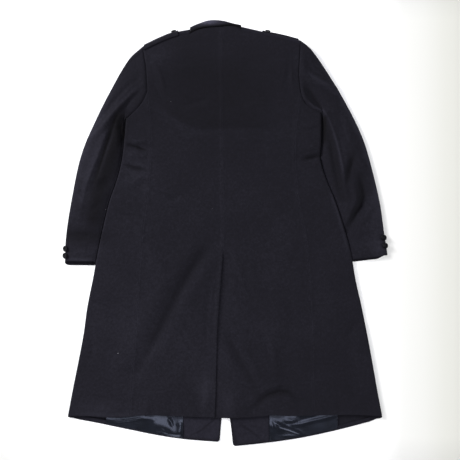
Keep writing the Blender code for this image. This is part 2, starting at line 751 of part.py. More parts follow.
def make_collar():
    """The collar rises from the neck seam, rolls over and falls on the coat's front."""
    left = neck_line(LEFT)
    right = neck_line(RIGHT)
    seam = left + list(reversed(right))[1:]
    middle_x = (seam[0][0] + seam[-1][0]) / 2
    columns = []
    for x, y in seam:
        roll_y = hem_y(COLLAR_ROLL, x)
        turn = min(COLLAR_TURN, (roll_y - y) / 2)
        top = back_height(x, y)
        bottom = CHEST_LIFT - EASE - CLOTH
        inner_y = roll_y - turn
        stand_y = mix(y, inner_y, COLLAR_STAND_SHARE)
        column = [(Vector((x, y, top)), UP), (Vector((x, stand_y, top + COLLAR_STAND_RISE)), UP)]
        for step in range(COLLAR_TURN_CELLS + 1):
            angle = pi * step / COLLAR_TURN_CELLS
            column.append(turn_point((x, inner_y), (0, 1), turn, top, bottom, angle))
        for step in range(1, COLLAR_FALL_CELLS + 1):
            share = step / COLLAR_FALL_CELLS
            fall_x = x + (x - middle_x) * COLLAR_SPREAD * share
            column.append((Vector((fall_x, inner_y - COLLAR_FALL * share, bottom)), DOWN))
        columns.append(column)
    grid = [[column[row] for column in columns] for row in range(len(columns[0]))]
    solid_wall("collar", grid, CLOTH, MELTON)


def make_lapel(side):
    """The lapel lies turned back on the outer face of its front."""
    mesh = bmesh.new()
    top = CHEST_LIFT - EASE
    base = [mesh.verts.new((x * MM, y * MM, top - CLOTH)) for x, y in LAPELS[side]]
    face = mesh.faces.new(base)
    raised = bmesh.ops.extrude_face_region(mesh, geom=[face])
    corners = [item for item in raised["geom"] if isinstance(item, bmesh.types.BMVert)]
    bmesh.ops.translate(mesh, verts=corners, vec=(0, 0, CLOTH))
    finished("lapel_" + NAMES[side], mesh, MELTON)


# Finishing inside the fronts

def finish_grid(side, first_x, last_x, cells, low_rise, thickness, top=FINISH_TOP, rise=None, puff=0.0):
    """Rows of a piece on the inner face of a front, from above its hem to a top line or by a rise."""
    grid = []
    for row in range(FINISH_ROWS + 1):
        spots = []
        for cell in range(cells + 1):
            x = mix(first_x, last_x, cell / cells)
            hem = hem_y(FRONT_HEM[side], x)
            high = top if rise is None else hem + rise
            y = mix(hem + low_rise, high, row / FINISH_ROWS)
            wave = puff * (0.5 + 0.5 * sin(cell * PUFF_TURN + row)) * (1 - ramp(y, high - PUFF_FADE, high))
            z = front_height(side, x, y) + CLOTH + EASE + thickness + wave
            spots.append((Vector((x, y, z)), UP))
        grid.append(spots)
    return grid


def make_finishing(side):
    """The facing by the front edge, the satin beside it and the hem's turn-up."""
    name = NAMES[side]
    facing_x = FACING_EDGE[side]
    corner_x = front_foot(side) + side * HEM_INSET
    facing = finish_grid(side, facing_x, corner_x, FACING_CELLS, HEM_INSET, CLOTH)
    for row in facing:
        edge = read(FRONT_EDGES, name, row[-1][0].y) + side * HEM_INSET
        shift = edge - row[-1][0].x
        for number, (point, out) in enumerate(row):
            point.x += shift * number / (len(row) - 1)
    solid_wall("facing_" + name, facing, CLOTH, MELTON)
    satin = finish_grid(side, SATIN_EDGE[side], facing_x, LINING_CELLS, TURNUP, SATIN, puff=LINING_PUFF)
    solid_wall("lining_" + name, satin, SATIN, LINING)
    turnup = finish_grid(side, TURNUP_EDGE[side], facing_x, TURNUP_CELLS, HEM_INSET, CLOTH, rise=TURNUP)
    solid_wall("hem_turnup_" + name, turnup, CLOTH, MELTON)


# Epaulettes

def make_epaulette(side):
    """A strap along the shoulder, made from the points of the shoulder's turn, moved out."""
    first_share, last_share = EPAULETTE_SHARES[side]
    first_angle, last_angle = (radians(value) for value in EPAULETTE_ANGLES[side])
    lift = EPAULETTE_EASE + EPAULETTE_CLOTH
    grid = []
    for cell in range(EPAULETTE_CELLS + 1):
        share = mix(first_share, last_share, cell / EPAULETTE_CELLS)
        spots = []
        if EPAULETTE_OVER[side]:
            x, y = walk(metres(SHOULDER[side]), share)
            start_y = y - EPAULETTE_OVER[side]
            spots.append((Vector((x, start_y, back_height(x, start_y) + lift)), UP))
        for step in range(EPAULETTE_TURN_CELLS + 1):
            angle = mix(first_angle, last_angle, step / EPAULETTE_TURN_CELLS)
            spots.append(shoulder_turn(side, share, angle, lift))
        last = spots[-1][0]
        spots.append((last + Vector((0, -EPAULETTE_UNDER[side], 0)), DOWN))
        grid.append(spots)
    solid_wall("epaulette_" + NAMES[side], grid, EPAULETTE_CLOTH, MELTON)


# Buttons

def make_button(name, radius, height, centre, facing):
    """A turned button: a back, a rounded rim and a dished face."""
    mesh = bmesh.new()
    points = [mesh.verts.new((radius * point.across, 0, height * point.up)) for point in BUTTON_PROFILE]
    edges = [mesh.edges.new(pair) for pair in zip(points, points[1:])]
    bmesh.ops.spin(mesh, geom=points + edges, cent=(0, 0, 0), axis=(0, 0, 1), angle=2 * pi,
                   steps=BUTTON_SIDES, use_merge=True)
    bmesh.ops.remove_doubles(mesh, verts=mesh.verts, dist=0.00001)
    turn = Vector((0, 0, 1)).rotation_difference(facing).to_matrix().to_4x4()
    bmesh.ops.transform(mesh, matrix=Matrix.Translation(centre) @ turn, verts=mesh.verts)
    finished(name, mesh, HORN)


def make_cuff_button(button):
    """A button on the hindarm edge of a cuff, tilted with the turn of the cloth."""
    outline = metres(SLEEVE_EDGE[button.side])
    places = sorted((y, x) for x, y in outline)
    y = button.y * MM
    edge_x = follow([place[0] for place in places], [place[1] for place in places], y)
    half = read_sleeve("outer", (outline[0][1] - y) / (outline[0][1] - outline[-1][1])) / 2
    tilt = radians(button.tilt)
    inner_x = edge_x - button.side * SLEEVE_TURN
    out = Vector((button.side * cos(tilt), 0, sin(tilt)))
    surface = Vector((inner_x + button.side * SLEEVE_TURN * cos(tilt), y, half + half * sin(tilt)))
    make_button(f"cuff_button_{NAMES[button.side]}_{button.number}", CUFF_BUTTON_RADIUS, CUFF_BUTTON_HEIGHT,
                surface + out * 2 * EASE, out)


def make_front_buttons():
    """Two columns of buttons on the left front, which faces the table."""
    for column, x in FRONT_BUTTON_COLUMNS.items():
        for number, y in enumerate(FRONT_BUTTON_ROWS, start=1):
            seat = Vector((x, y, CHEST_LIFT - EASE))
            make_button(f"front_button_{column}_{number}", FRONT_BUTTON_RADIUS, FRONT_BUTTON_HEIGHT, seat, DOWN)


def make_epaulette_button(side):
    """The button that holds the strap's free end, on the edge of the shoulder."""
    share = EPAULETTE_SHARES[side][1] - EPAULETTE_BUTTON_BACK
    lift = EPAULETTE_EASE + EPAULETTE_CLOTH
    before, point, after = (shoulder_turn(side, share + step, pi / 2, lift)[0]
                            for step in (-EPAULETTE_BUTTON_SPAN, 0, EPAULETTE_BUTTON_SPAN))
    along = after - before
    out = Vector((-along.y, along.x, 0)).normalized() * -side
    make_button("epaulette_button_" + NAMES[side], EPAULETTE_BUTTON_RADIUS, EPAULETTE_BUTTON_HEIGHT,
                point + out * 2 * EASE, out)


def make_coat():
    for side in (LEFT, RIGHT):
        make_back(side)
        make_side_body(side)
        make_front(side)
        make_sleeve(side)
        make_lapel(side)
        make_finishing(side)
        make_epaulette(side)
        make_epaulette_button(side)
    make_collar()
    make_front_buttons()
    for button in CUFF_BUTTONS:
        make_cuff_button(button)


make_coat()
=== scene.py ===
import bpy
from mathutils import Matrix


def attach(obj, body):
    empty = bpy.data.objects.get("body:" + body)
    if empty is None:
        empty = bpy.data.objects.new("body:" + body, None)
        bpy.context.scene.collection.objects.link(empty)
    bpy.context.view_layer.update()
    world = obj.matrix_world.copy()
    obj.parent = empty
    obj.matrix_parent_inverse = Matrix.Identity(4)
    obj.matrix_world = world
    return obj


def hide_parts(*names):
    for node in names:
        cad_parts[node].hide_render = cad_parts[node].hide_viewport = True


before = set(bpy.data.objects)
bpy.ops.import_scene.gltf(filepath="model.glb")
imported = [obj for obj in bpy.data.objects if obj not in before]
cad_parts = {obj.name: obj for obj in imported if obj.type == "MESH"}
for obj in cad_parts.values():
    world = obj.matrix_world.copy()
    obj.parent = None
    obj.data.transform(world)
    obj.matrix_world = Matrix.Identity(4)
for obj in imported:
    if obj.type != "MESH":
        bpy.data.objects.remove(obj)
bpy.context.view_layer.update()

# The looks of a double-breasted officer's overcoat, laid flat on its buttoned front with its back up.
# Each panel is a grid laid on the same surface as its solid and thickened inwards. Plan sizes are in
# millimetres in the tables, with +X towards the wearer's right and +Y towards the collar.
from collections import namedtuple
from math import pi, radians

import bmesh
import bpy
import numpy as np
from mathutils import Matrix, Vector, noise

MM = 0.001


def table(columns, text):
    """Rows of numbers under named columns."""
    row = namedtuple("Row", columns)
    return [row(*map(float, values.split())) for values in text.strip().splitlines()]


def trace(text):
    """Plan points in metres from x,y pairs in millimetres."""
    return np.array([pair.split(",") for pair in text.split()], float) * MM


# Rise is up for a ridge and down for a trough, reach is half its width, and lean makes the side on
# the right of its path wider. A taper of 1 lets the fold fade out towards both of its ends.
Fold = namedtuple("Fold", "rise reach lean taper path")


def folds(**regions):
    """Folds by region of the coat, from rows of rise, reach, lean, taper and the path's points."""
    rows = [row.split(maxsplit=4) for text in regions.values() for row in text.strip().splitlines()]
    return [Fold(*map(float, row[:4]), trace(row[4])) for row in rows]


LEFT = -1
RIGHT = 1
SIDES = {LEFT: "left", RIGHT: "right"}
UP = np.array((0.0, 0.0, 1.0))
DOWN = -UP

# Cloth, seams and clear ways, as in the construction
CLOTH = 2.2 * MM
SATIN = 1.0 * MM
EASE = 0.3 * MM
LAP_EASE = 1.0 * MM
LAP_MARGIN = 60 * MM
SIDE_TURN = 6.0 * MM
SHOULDER_TURN = 12.0 * MM
SLEEVE_TURN = 5.5 * MM
SLEEVE_CLEAR = -0.1 * MM
COLLAR_TURN = 8.0 * MM
EDGE_ROUND = 0.8 * MM
EDGE_SHARE = 0.35
EDGE_ANGLE = radians(55)
CORNER_ROUND = 9 * MM

HEM_Y = -545 * MM
CENTRE_HEM_X = -33 * MM
CENTRE_NECK_Y = 618 * MM

# Level sections of the body, from the back hem to the armhole
BODY = table("y left_edge left_seam centre right_seam right_edge", """
    -545 -472 -286 -33 264 468
    -460 -456 -280 -30 262 452
    -380 -440 -275 -28 261 438
    -300 -425 -268 -26 258 423
    -220 -414 -263 -21 255 407
    -140 -398 -259 -15 252 389
    -60 -383 -253 -9 245 375
    20 -366 -246 -8 234 353
    100 -346 -235 -9 217 326
    160 -325 -229 -10 210 301
    220 -310 -225 -10 206 283
    280 -303 -223 -11 207 285
    342 -298 -225 -11 211 286
    423 -298 -234 -12 224 286
    620 -298 -234 -13 224 286
""")

# Height of the back above the table, at the side edges and along the middle
BACK_HEIGHTS = table("y side middle", """
    -550 12 13
    -500 12.2 14.2
    -400 12.5 16
    -200 12.5 17
    0 14 18.5
    150 16 20
    260 18 22
    342 20 24
    450 25 26
    540 28 27
    640 28 26
""")
CROWN_POWER = 2.2
PAD_RISE = 4.0 * MM
PAD_REACH = 62 * MM
PADS = ((-190 * MM, 500 * MM), (168 * MM, 512 * MM))

# The main folds, which the solids have too
FOLDS = folds(
    skirt="""
        -4 22 0 0  -67,-60 -136,-156 -181,-234 -223,-330 -268,-417
        2.6 24 0 0  -100,-40 -176,-140 -226,-226 -270,-320 -318,-400
        -3 20 0 0  10,-330 45,-408 70,-477
        -2.4 18 0 0  79,-528 115,-486 166,-459 219,-503
        2.4 22 0 0  141,-300 145,-370 150,-452
        -2.6 24 0 0  395,-250 372,-350 386,-470
        2 20 0 0  -424,-505 -360,-515 -296,-500
    """,
    back="""
        -2.2 17 0 0  -216,350 -163,324 -94,302 -25,306 43,318 184,297
        -2.4 13 0 0  -288,257 -223,255
        -2 14 0 0  -300,165 -232,150 -150,112
        -2.6 14 0 0  274,226 216,222
    """,
    sleeves="""
        3.2 17 0 0  -322,372 -366,322 -412,272
        -3 16 0 0  -322,330 -352,280 -384,236
        -2.6 15 0 0  -352,150 -384,128 -424,120
        -2 11 0 0  -392,-12 -430,-18 -466,-12
        3.4 17 0 0  232,500 276,470 322,436
        -3.4 15 0 0  248,434 272,408 292,378
        -3.2 14 0 0  368,166 380,196 394,230
        -3 15 0 0  409,168 427,114 402,76 364,6
        2.6 14 0 0  384,150 392,118 380,84
    """,
)

# Finer creases, only here
CREASES = folds(
    skirt_drag="""
        -4.6 11 0.2 1  -44,-37 -101,-113 -137,-175 -180,-262 -223,-349 -261,-417
        3 17 -0.2 1  -23,-52 -73,-122 -106,-184 -147,-271 -191,-359
    """,
    yoke="""
        -2 5 0.3 1  -130,382 -94,390 -63,397 -38,403
        1.6 9 0 1  -121,368 -81,374 -46,382
        2 8 0.2 1  -211,506 -195,477 -185,444 -182,417
        -1.8 9 0 1  -222,461 -209,432 -193,409 -166,389
        1.8 8 0.2 1  -222,533 -182,519 -147,517
        1.4 12 0.3 1  -156,490 -108,498 -58,490
        1.5 11 -0.3 1  57,492 105,490 160,473
        1.5 8 0.2 1  57,438 92,418 125,393
        1.6 9 0.2 1  45,370 92,386 144,378
        -1.8 9 0 1  198,529 189,490 183,451 189,413
        -3 10 0.3 1  -223,358 -162,331 -125,314 -81,305 -40,308
        2.6 8 -0.3 1  -185,302 -147,293 -101,284 -63,278
        -2.2 9 0.2 1  55,316 115,308 179,304
        2.2 8 0.2 1  41,281 105,285 171,279
    """,
    left_side="""
        3.2 8 0.2 1  -284,287 -263,273 -234,279
        -5.4 5 0.3 1  -293,267 -266,258 -234,245
        4 8 -0.2 1  -292,236 -262,231 -234,224
        -5 6 0.2 1  -300,206 -270,195 -238,190
        3 8 0.2 1  -302,161 -273,157 -240,172
        -2 9 0.1 1  -298,130 -263,136 -230,151
    """,
    left_waist="""
        -2.2 7 0.2 1  -176,108 -147,110 -110,112
        2 9 0.2 1  -211,99 -156,81 -108,74
        -1.9 8 0.2 1  -331,62 -292,52 -244,44
        1.8 10 0 1  -321,21 -282,25 -234,12
    """,
    right_side="""
        2.7 8 0.2 1  272,325 247,318 222,327
        -6 6 0.3 1  288,234 258,226 227,218
        3 8 0.2 1  272,260 247,254 224,260
        2.4 8 0.2 1  278,203 253,201 214,209
    """,
    right_waist_and_seat="""
        -2 8 -0.2 1  208,234 154,227 101,217
        -1.8 10 -0.2 1  47,143 86,132 115,139
        1.6 12 -0.2 1  57,103 125,87 192,99
        1.8 14 0.1 1  -114,64 -59,48 -1,56 57,70
        1.9 22 0.2 1  -234,-14 -195,-101 -166,-169
        -1.6 22 0.2 1  57,-14 105,-101 125,-198
        2.4 6 0.3 1  28,-52 41,-101 53,-153 61,-184
    """,
    skirt_and_vent="""
        -3.8 11 0.2 1  -6,-285 18,-333 46,-384 76,-440 102,-500
        2.4 9 0.2 1  44,-318 70,-370 110,-438
        3 6 0.3 1  132,-301 144,-343 150,-392 148,-426
        -2.4 7 0.3 1  113,-293 125,-333 127,-378
        -5.2 8 0.3 1  80,-522 103,-498 129,-481 160,-471 191,-475 216,-498 231,-519
        3 6 0 1  92,-483 125,-461 163,-450 202,-459
        -1.9 16 0.3 1  183,-149 198,-256 189,-363
        2 24 0 1  300,-120 318,-250 312,-400
        1.9 24 0 1  -360,-130 -372,-250 -366,-370
        -2.6 6 0.2 1  -408,-200 -377,-213 -342,-221
        -2.3 7 0.2 1  -412,-285 -393,-333 -408,-392
        -2.7 7 0.2 1  410,-254 384,-281 363,-314
        3.2 9 -0.3 1  -11,-66 -17,-128 -24,-196 -28,-262 -33,-340
        -1.9 8 0.2 1  -46,-130 -54,-230 -58,-330
        2.7 13 0 1  -52,-440 -58,-492 -60,-540
    """,
    hem="""
        2.2 14 0.2 1  -236,-500 -232,-536 -230,-552
        -2.3 14 0.1 1  -166,-484 -160,-530 -160,-552
        1.9 13 0 1  -104,-480 -98,-524 -98,-552
        1.9 13 0.2 1  20,-480 24,-520 26,-552
        1.9 13 -0.2 1  276,-486 286,-524 290,-550
        -2.2 14 0 1  330,-476 344,-520 350,-550
        1.9 12 0 1  -440,-520 -380,-528 -316,-526 -260,-524
    """,
    left_sleeve="""
        4.4 8 -0.25 1  -244,444 -275,420 -302,392 -337,357 -380,305 -418,273
        -3.5 7 0.2 1  -253,463 -284,444 -321,407 -362,356 -393,324
        -4.3 7 0.2 1  -259,417 -284,397 -309,370 -335,335 -362,296
        3 7 0.2 1  -292,397 -313,366 -325,339 -331,312
        -5.4 6 0.2 1  -306,347 -313,314 -311,281 -315,254
        3.6 9 0.35 1  -334,352 -353,309 -364,279 -376,249 -387,219 -399,189 -411,159 -420,129 -427,99 -431,54
        -4.2 7 0.3 1  -322,344 -337,312 -347,276 -358,246 -369,216 -381,184 -392,154 -400,124
        2.4 9 0.2 1  -356,176 -387,159 -428,157
        -2.2 9 0.2 1  -381,199 -408,196 -432,203
        -1.9 9 0.2 1  -371,87 -401,70 -439,74
        -3.5 9 0.15 1  -392,2 -420,-7 -448,-4 -472,4
        2.6 8 0.1 1  -398,-26 -430,-34 -470,-30
    """,
    right_sleeve="""
        4.9 7 0.25 1  227,502 237,475 253,455 282,442 326,432 353,413
        -3.5 8 0.2 1  241,513 260,484 289,465 326,455
        -5.7 9 0.3 1  243,434 258,413 276,386 289,360
        3.5 5 0.2 1  225,444 237,403 260,382 289,368 307,347
        4.6 6 -0.3 1  286,372 304,344 318,309 331,270 338,240 346,205 352,165 356,130 364,100 358,70
        -4.1 7 0.2 1  300,316 314,270 322,222 330,180 338,140 346,106
        -3.2 10 0.2 1  334,355 353,306 369,248 377,199
        -5.7 8 0.2 1  398,176 408,140 412,112 404,84 391,64 379,38 364,8
        4.1 8 0.2 1  376,158 386,122 388,96 374,66 362,36
        3.2 8 0.2 1  388,242 410,205 431,176
        -4.3 8 0.2 1  386,236 379,219 370,190 367,168
        3 9 0.2 1  402,25 419,52 439,87
        -2.2 8 0.1 1  388,-22 420,-8 456,4
        2.2 8 0.1 1  396,-46 430,-36 466,-30
        1.5 5 0.2 1  193,525 196,480 198,441
    """,
)

# Painted light and shade laid into the colour, with some of the wool's own tone: soft patches with their half
# widths. Those that darken, as on the yoke and in the left cuff's hollow, are painted shade; those that lighten,
# as on the sleeve tops and the vent's corners, are mostly painted sheen.
Patch = namedtuple("Patch", "lift x y across along")
NAP_AND_SHADE_PATCHES = {
    "yoke": Patch(-0.4, -30, 430, 190, 120),
    "left skirt": Patch(0.17, -330, -300, 170, 280),
    "middle skirt": Patch(0.14, -60, -330, 180, 200),
    "left side": Patch(0.16, -270, 180, 60, 90),
    "left hem": Patch(0.24, -360, -520, 90, 22),
    "vent corner left": Patch(0.3, -58, -470, 26, 60),
    "vent corner right": Patch(0.26, 10, -504, 24, 40),
    "left sleeve top": Patch(0.34, -400, 250, 50, 190),
    "left shoulder": Patch(0.22, -190, 530, 60, 40),
    "left forearm": Patch(0.04, -440, 90, 40, 90),
    "left cuff": Patch(0.16, -430, -52, 60, 30),
    "left cuff hollow": Patch(-0.62, -420, -8, 60, 20),
    "right forearm": Patch(0.34, 446, 60, 30, 90),
    "right cuff": Patch(0.02, 425, -40, 60, 34),
    "right cuff end": Patch(0.42, 458, -42, 26, 26),
    "right elbow": Patch(-0.16, 384, 170, 40, 90),
    "right sleeve line": Patch(0.26, 352, 240, 14, 120),
    "right skirt": Patch(-0.06, 330, -430, 140, 110),
}
NAP_SEAM = {"panel": 0.15, "centre": 0.11}
NAP_SEAM_REACH = {"panel": 2.6 * MM, "centre": 9 * MM}

# The same along lines: painted shade along creases, troughs, the cross-back line and the neck seam, and painted
# sheen along ridges, folds and edges; here the rise is how much lighter the colour is painted.
NAP_AND_SHADE_STROKES = folds(
    sleeves="""
        -0.85 25 0 0  -316,340 -324,300 -334,260 -346,219 -368,159 -384,99 -394,50
        0.2 9 0.2 0  -336,352 -361,290 -386,226 -411,159 -428,99
        0.35 9 0 1  -300,505 -342,424 -390,327 -429,231 -454,120 -470,10
        -0.4 14 0 0  296,334 312,270 324,220 336,165 348,110
        -0.55 8 0.2 1  384,240 376,216 368,189 363,150
        -0.6 9 0.2 1  402,176 408,140 411,112 402,84 388,60 364,14
        0.45 8 0 1  262,540 306,472 362,375 407,279 435,183 457,87 470,-10
    """,
    back="""
        0.5 5 0 1  279,225 300,165 317,120 335,60 352,0 363,-50
        0.2 5 0 1  -312,210 -336,140 -356,70 -372,0
        0.2 13 0.5 1  -212,388 -170,350 -130,327 -104,316 -70,310 -30,309
        -0.2 22 -0.8 1  -214,398 -170,358 -130,333 -104,322 -70,316 20,316 140,318
        0.1 10 0.5 1  -50,310 60,312 140,314 196,306
        -0.3 14 0.3 1  -44,-37 -101,-113 -137,-175 -180,-262 -223,-349
        -0.3 10 0.2 1  -2,-290 22,-338 50,-390 80,-446 104,-500
        -0.5 7 0.2 1  80,-522 103,-498 129,-481 160,-471 191,-475 216,-498
    """,
    sleeve_and_pleat_lines="""
        -0.7 5 0 1  -330,312 -312,318 -303,296 -312,276
        0.4 8 0.2 1  229,492 262,465 300,443 342,412
        0.45 4 0 1  240,392 262,378 290,366 302,360
        -0.7 6 0.2 0  294,345 295,310 294,275
        -0.6 5 0.2 1  288,235 258,227 230,219
        -0.7 4 0.3 1  -306,380 -324,346 -339,314 -352,275 -365,232 -377,191 -390,146 -398,110
        -0.8 4 0.2 1  -294,268 -266,259 -234,246
        -0.7 5 0.2 1  -300,207 -270,196 -238,191
        0.15 6 0 1  -244,450 -284,420 -318,386 -350,342 -384,300
        0.55 4 0 1  286,374 304,346 318,311 331,272 338,242 346,205 354,160
        -0.45 4 0 1  243,436 258,415 276,388 289,362
    """,
    edges="""
        0.45 4 0 1  -476,-76 -436,-77 -396,-77
        -0.9 3.2 0.2 0  -104,603 -86,609 -60,615 -13,619 14,621 36,616
        0.3 7 0 1  -460,-538 -400,-538 -330,-541 -250,-536
    """,
)
# Painted sheen on the collar's roll, and painted shade along the neck seam below it and on its right end.
COLLAR_PAINTED_SHEEN = Patch(1.4, -52, 631, 46, 16)
COLLAR_PAINTED_SHADE = folds(
    collar="""
        -1.3 4 0.2 0  -104,599 -86,609 -60,615 -13,619 14,621 46,612
        -0.6 14 0 0  24,634 40,618
    """,
)
FACING_NAP = {LEFT: 0.3, RIGHT: 0.2}

# The underside rests flat, with shallow hollows where the cloth stands off the table
UNDER_CREASES = folds(
    left_body="""
        1.3 11 0.2 1  -120,180 -170,60 -214,-80 -250,-220
        1 18 -0.2 1  -90,-120 -140,-260 -176,-400
        1.2 16 0.1 1  -300,-220 -330,-350 -352,-470
        1.1 8 0.3 1  -300,150 -250,140 -200,152
        1.2 7 0.2 1  -286,262 -250,252 -214,258
    """,
    right_body="""
        1.2 12 -0.2 1  110,150 146,20 176,-120 190,-240
        1 17 0.2 1  90,-200 110,-330 128,-440
        1.3 15 0.1 1  300,-190 322,-330 350,-460
        1.1 9 -0.3 1  280,176 236,164 190,170
        1.3 7 0.2 1  276,284 244,270 212,276
    """,
    sleeves="""
        1.2 8 0.2 1  -330,330 -364,286 -400,250
        1.3 7 0.3 1  -360,120 -400,104 -444,110
        1.2 8 -0.2 1  314,350 352,306 384,262
        1.3 7 0.2 1  362,110 404,90 446,98
    """,
)

# The armhole seam, from its pitch point, where the side back seam ends
ARMHOLE_UP = {
    LEFT: trace("-234,423 -235,459 -238,501 -247,558"),
    RIGHT: trace("224,423 218,471 220,519 223,576"),
}
ARMHOLE_DOWN = {
    LEFT: trace("-234,423 -250,390 -274,363 -298,342"),
    RIGHT: trace("224,423 236,391 260,372 286,360"),
}
ARMHOLE_CELLS = (6, 4)

# The shoulder from the armhole to the neck, and the neck seam from the neck point to the middle
SHOULDER = {
    LEFT: trace("-247,558 -197,582 -151,600 -106,609"),
    RIGHT: trace("223,576 170,590 116,601 46,617"),
}
NECK = {
    LEFT: trace("-106,597 -86,608 -60,614 -13,618"),
    RIGHT: trace("46,610 34,617 14,620 -13,618"),
}
SHOULDER_PART = 7 / 11
SKIRT_PART = 26 / 32
HEM_CORNER = 0.85
COLLAR_ROLL = trace("-106,615 -92,622 -76,628 -55,635 -31,637 -4,634 22,627 46,622")
COLLAR_FALL = 66 * MM
COLLAR_SPREAD = 0.22
COLLAR_STAND_RISE = 0.5 * MM

# Hems: the back's edge, and each front's, which hangs lower and parts at the middle
BACK_HEM = trace("""
    -472,-545 -406,-545 -358,-549 -316,-548 -286,-546 -244,-542 -151,-545 -33,-549 18,-550
    103,-545 136,-542 205,-544 264,-543 313,-542 385,-541 468,-545
""")
FRONT_HEM = {
    LEFT: trace("-472,-551 -436,-557 -382,-567 -286,-587 -196,-605 -118,-616 -18,-624"),
    RIGHT: trace("22,-637 118,-627 205,-615 268,-603 346,-585 415,-567 468,-553"),
}
FRONT_EDGES = table("y left right", """
    -637 -19 22
    -552 -12 12
    -177 31 -55
    99 58 -100
    215 57 -90
    400 -21 -23
    600 -106 46
""")
FRONT_FOOT = {LEFT: -551 * MM, RIGHT: -553 * MM}
LAP_LOW_Y = -515 * MM
LAP_FULL_Y = -465 * MM

# Sleeves: the outer edge from the shoulder to the cuff, and the heights along them
SLEEVE_EDGE = {
    LEFT: trace("-247,558 -289,519 -346,423 -394,327 -433,231 -459,111 -477,-3 -481,-82"),
    RIGHT: trace("223,576 256,548 310,471 367,375 412,279 440,183 462,87 473,9 484,-64"),
}
CUFF_INNER_Y = {LEFT: -84 * MM, RIGHT: -77 * MM}
CUFF_LAP = {LEFT: 12 * MM, RIGHT: 8 * MM}
CUFF_LAP_SHARE = 0.9
CUFF_LAP_PART = {LEFT: 0.1, RIGHT: 0.3}
CUFF_LAP_OUTER = {LEFT: 0.9, RIGHT: 0.0}
UNDERARM_EASING = 1.6
UNDERARM_FADE = 0.2
UNDERARM_TURN = 1.0 * MM
UNDERARM_RISE = 4 * MM
EDGE_STEP = 10 * MM
EDGE_SHARE_STEP = 0.02
HINDARM_STRIP = 4 * MM
STRIP_TEST = 0.1
FOREARM_SEAM = 2.1
HEAD_SHARE = 0.12
HEAD_BULGE_SHARE = 0.24
HEAD_BULGE_LEAST = 0.03
EVEN_CELLS_FROM = 0.1
EVEN_CELLS_TO = 0.4
SLEEVE_CROWN_POWER = 0.8
SLEEVE_HEIGHTS = table("share outer crown inner", """
    0 28 28 20
    0.1 21 26 12
    0.28 15 24 10
    0.55 12.5 21 10
    0.8 11.5 18 10
    0.93 11 15 10
    1 11.5 15 10.5
""")

# The chest's underside is raised over the lapels, the collar's fall and the front buttons
CHEST_LIFT = 4.5 * MM
LIFTS = table("left_none left_full right_full right_none low_none low_full", """
    -300 -160 120 260 -240 -120
    -380 -270 250 360 340 450
""")

# Vent: the left back laps over the right back's extension
VENT_TOP = -42 * MM
VENT_EXTENSION = 38 * MM
VENT_BLEND = 44 * MM
EXTENSION_TOP = VENT_TOP - 43 * MM
EXTENSION_SLOPE = 35 * MM
VENT_DROP_SLOPE = 36 * MM
VENT_DROP_EDGE = 4 * MM

# Finishing inside the fronts, as far as it shows below the back hem
FACING_EDGE = {LEFT: -127.5 * MM, RIGHT: 130.5 * MM}
SATIN_EDGE = {LEFT: -358 * MM, RIGHT: 334 * MM}
TURNUP_EDGE = {LEFT: -440 * MM, RIGHT: 432 * MM}
FINISH_TOP = -530 * MM
TURNUP = 13 * MM
HEM_INSET = 1.5 * MM
SATIN_INSET = 4.5 * MM
SATIN_STEP = 5 * MM
SATIN_FALL = 14 * MM

# Epaulettes, as shares of the shoulder and degrees round its turn
EPAULETTE_SHARES = {LEFT: (0.03, 0.76), RIGHT: (0.03, 0.64)}
EPAULETTE_ANGLES = {LEFT: (0, 180), RIGHT: (66, 180)}
EPAULETTE_OVER = {LEFT: 14 * MM, RIGHT: 0}
EPAULETTE_UNDER = {LEFT: 10 * MM, RIGHT: 26 * MM}
EPAULETTE_CLOTH = 2.8 * MM
EPAULETTE_EASE = 0.6 * MM

# Lapels, turned back along the front edges and cut off below the collar
LAPELS = {
    LEFT: trace("46,222 -20,252 -150,480 -118,508 -98,530 -92,545"),
    RIGHT: trace("-6,412 50,300 122,470 96,500 70,524 40,535"),
}

# Seams: a fine groove between the panels, on a low band where their turnings lie underneath
GROOVE_DEPTH = {"panel": 0.4 * MM, "centre": 0.3 * MM, "armhole": 2.0 * MM, "neck": 3.2 * MM}
GROOVE_REACH = {"panel": 1.2 * MM, "centre": 1.0 * MM, "armhole": 2.4 * MM, "neck": 3.4 * MM}
SEAM_OVERLAP = 0.35 * MM
BAND_RISE = 0.8 * MM
BAND_REACH = 6 * MM
SLEEVE_ROLL_RISE = 1.5 * MM
SLEEVE_ROLL_REACH = 9 * MM
SLEEVE_ROLL_OFFSET = 10 * MM
ROLL_FROM = 0.15
ROLL_TO = 0.8
HEM_STEPS = (trace("-452,-480 -34,-474"), trace("0,-452 446,-446"))
HEM_STEP_RISE = 0.45 * MM
HEM_STEP_REACH = 4 * MM
FADE_END = 0.02
FADE_POWER = 0.6
UNDULATION = ((0.55 * MM, 95 * MM), (0.16 * MM, 30 * MM))


# Curves and blends, on arrays of places

def mix(a, b, share):
    return a + (b - a) * share


def unit(value):
    return np.clip(value, 0.0, 1.0)


def ramp(value, low, high):
    """Rise smoothly from 0 at low to 1 at high."""
    share = unit((np.asarray(value, float) - low) / (high - low))
    return share * share * (3 - 2 * share)


def follow(places, values, place):
    """Read a smooth curve through values at rising places."""
    places = np.asarray(places, float)
    values = np.asarray(values, float)
    place = np.clip(place, places[0], places[-1])
    first = np.clip(np.searchsorted(places, place, side="right") - 1, 0, len(places) - 2)
    last = first + 1
    before = np.maximum(first - 1, 0)
    after = np.minimum(last + 1, len(places) - 1)
    step = places[last] - places[first]
    share = (place - places[first]) / step
    slope_in = (values[last] - values[before]) / (places[last] - places[before]) * step
    slope_out = (values[after] - values[first]) / (places[after] - places[first]) * step
    square = share * share
    cube = square * share
    return (values[first] * (2 * cube - 3 * square + 1) + slope_in * (cube - 2 * square + share)
            + values[last] * (3 * square - 2 * cube) + slope_out * (cube - square))


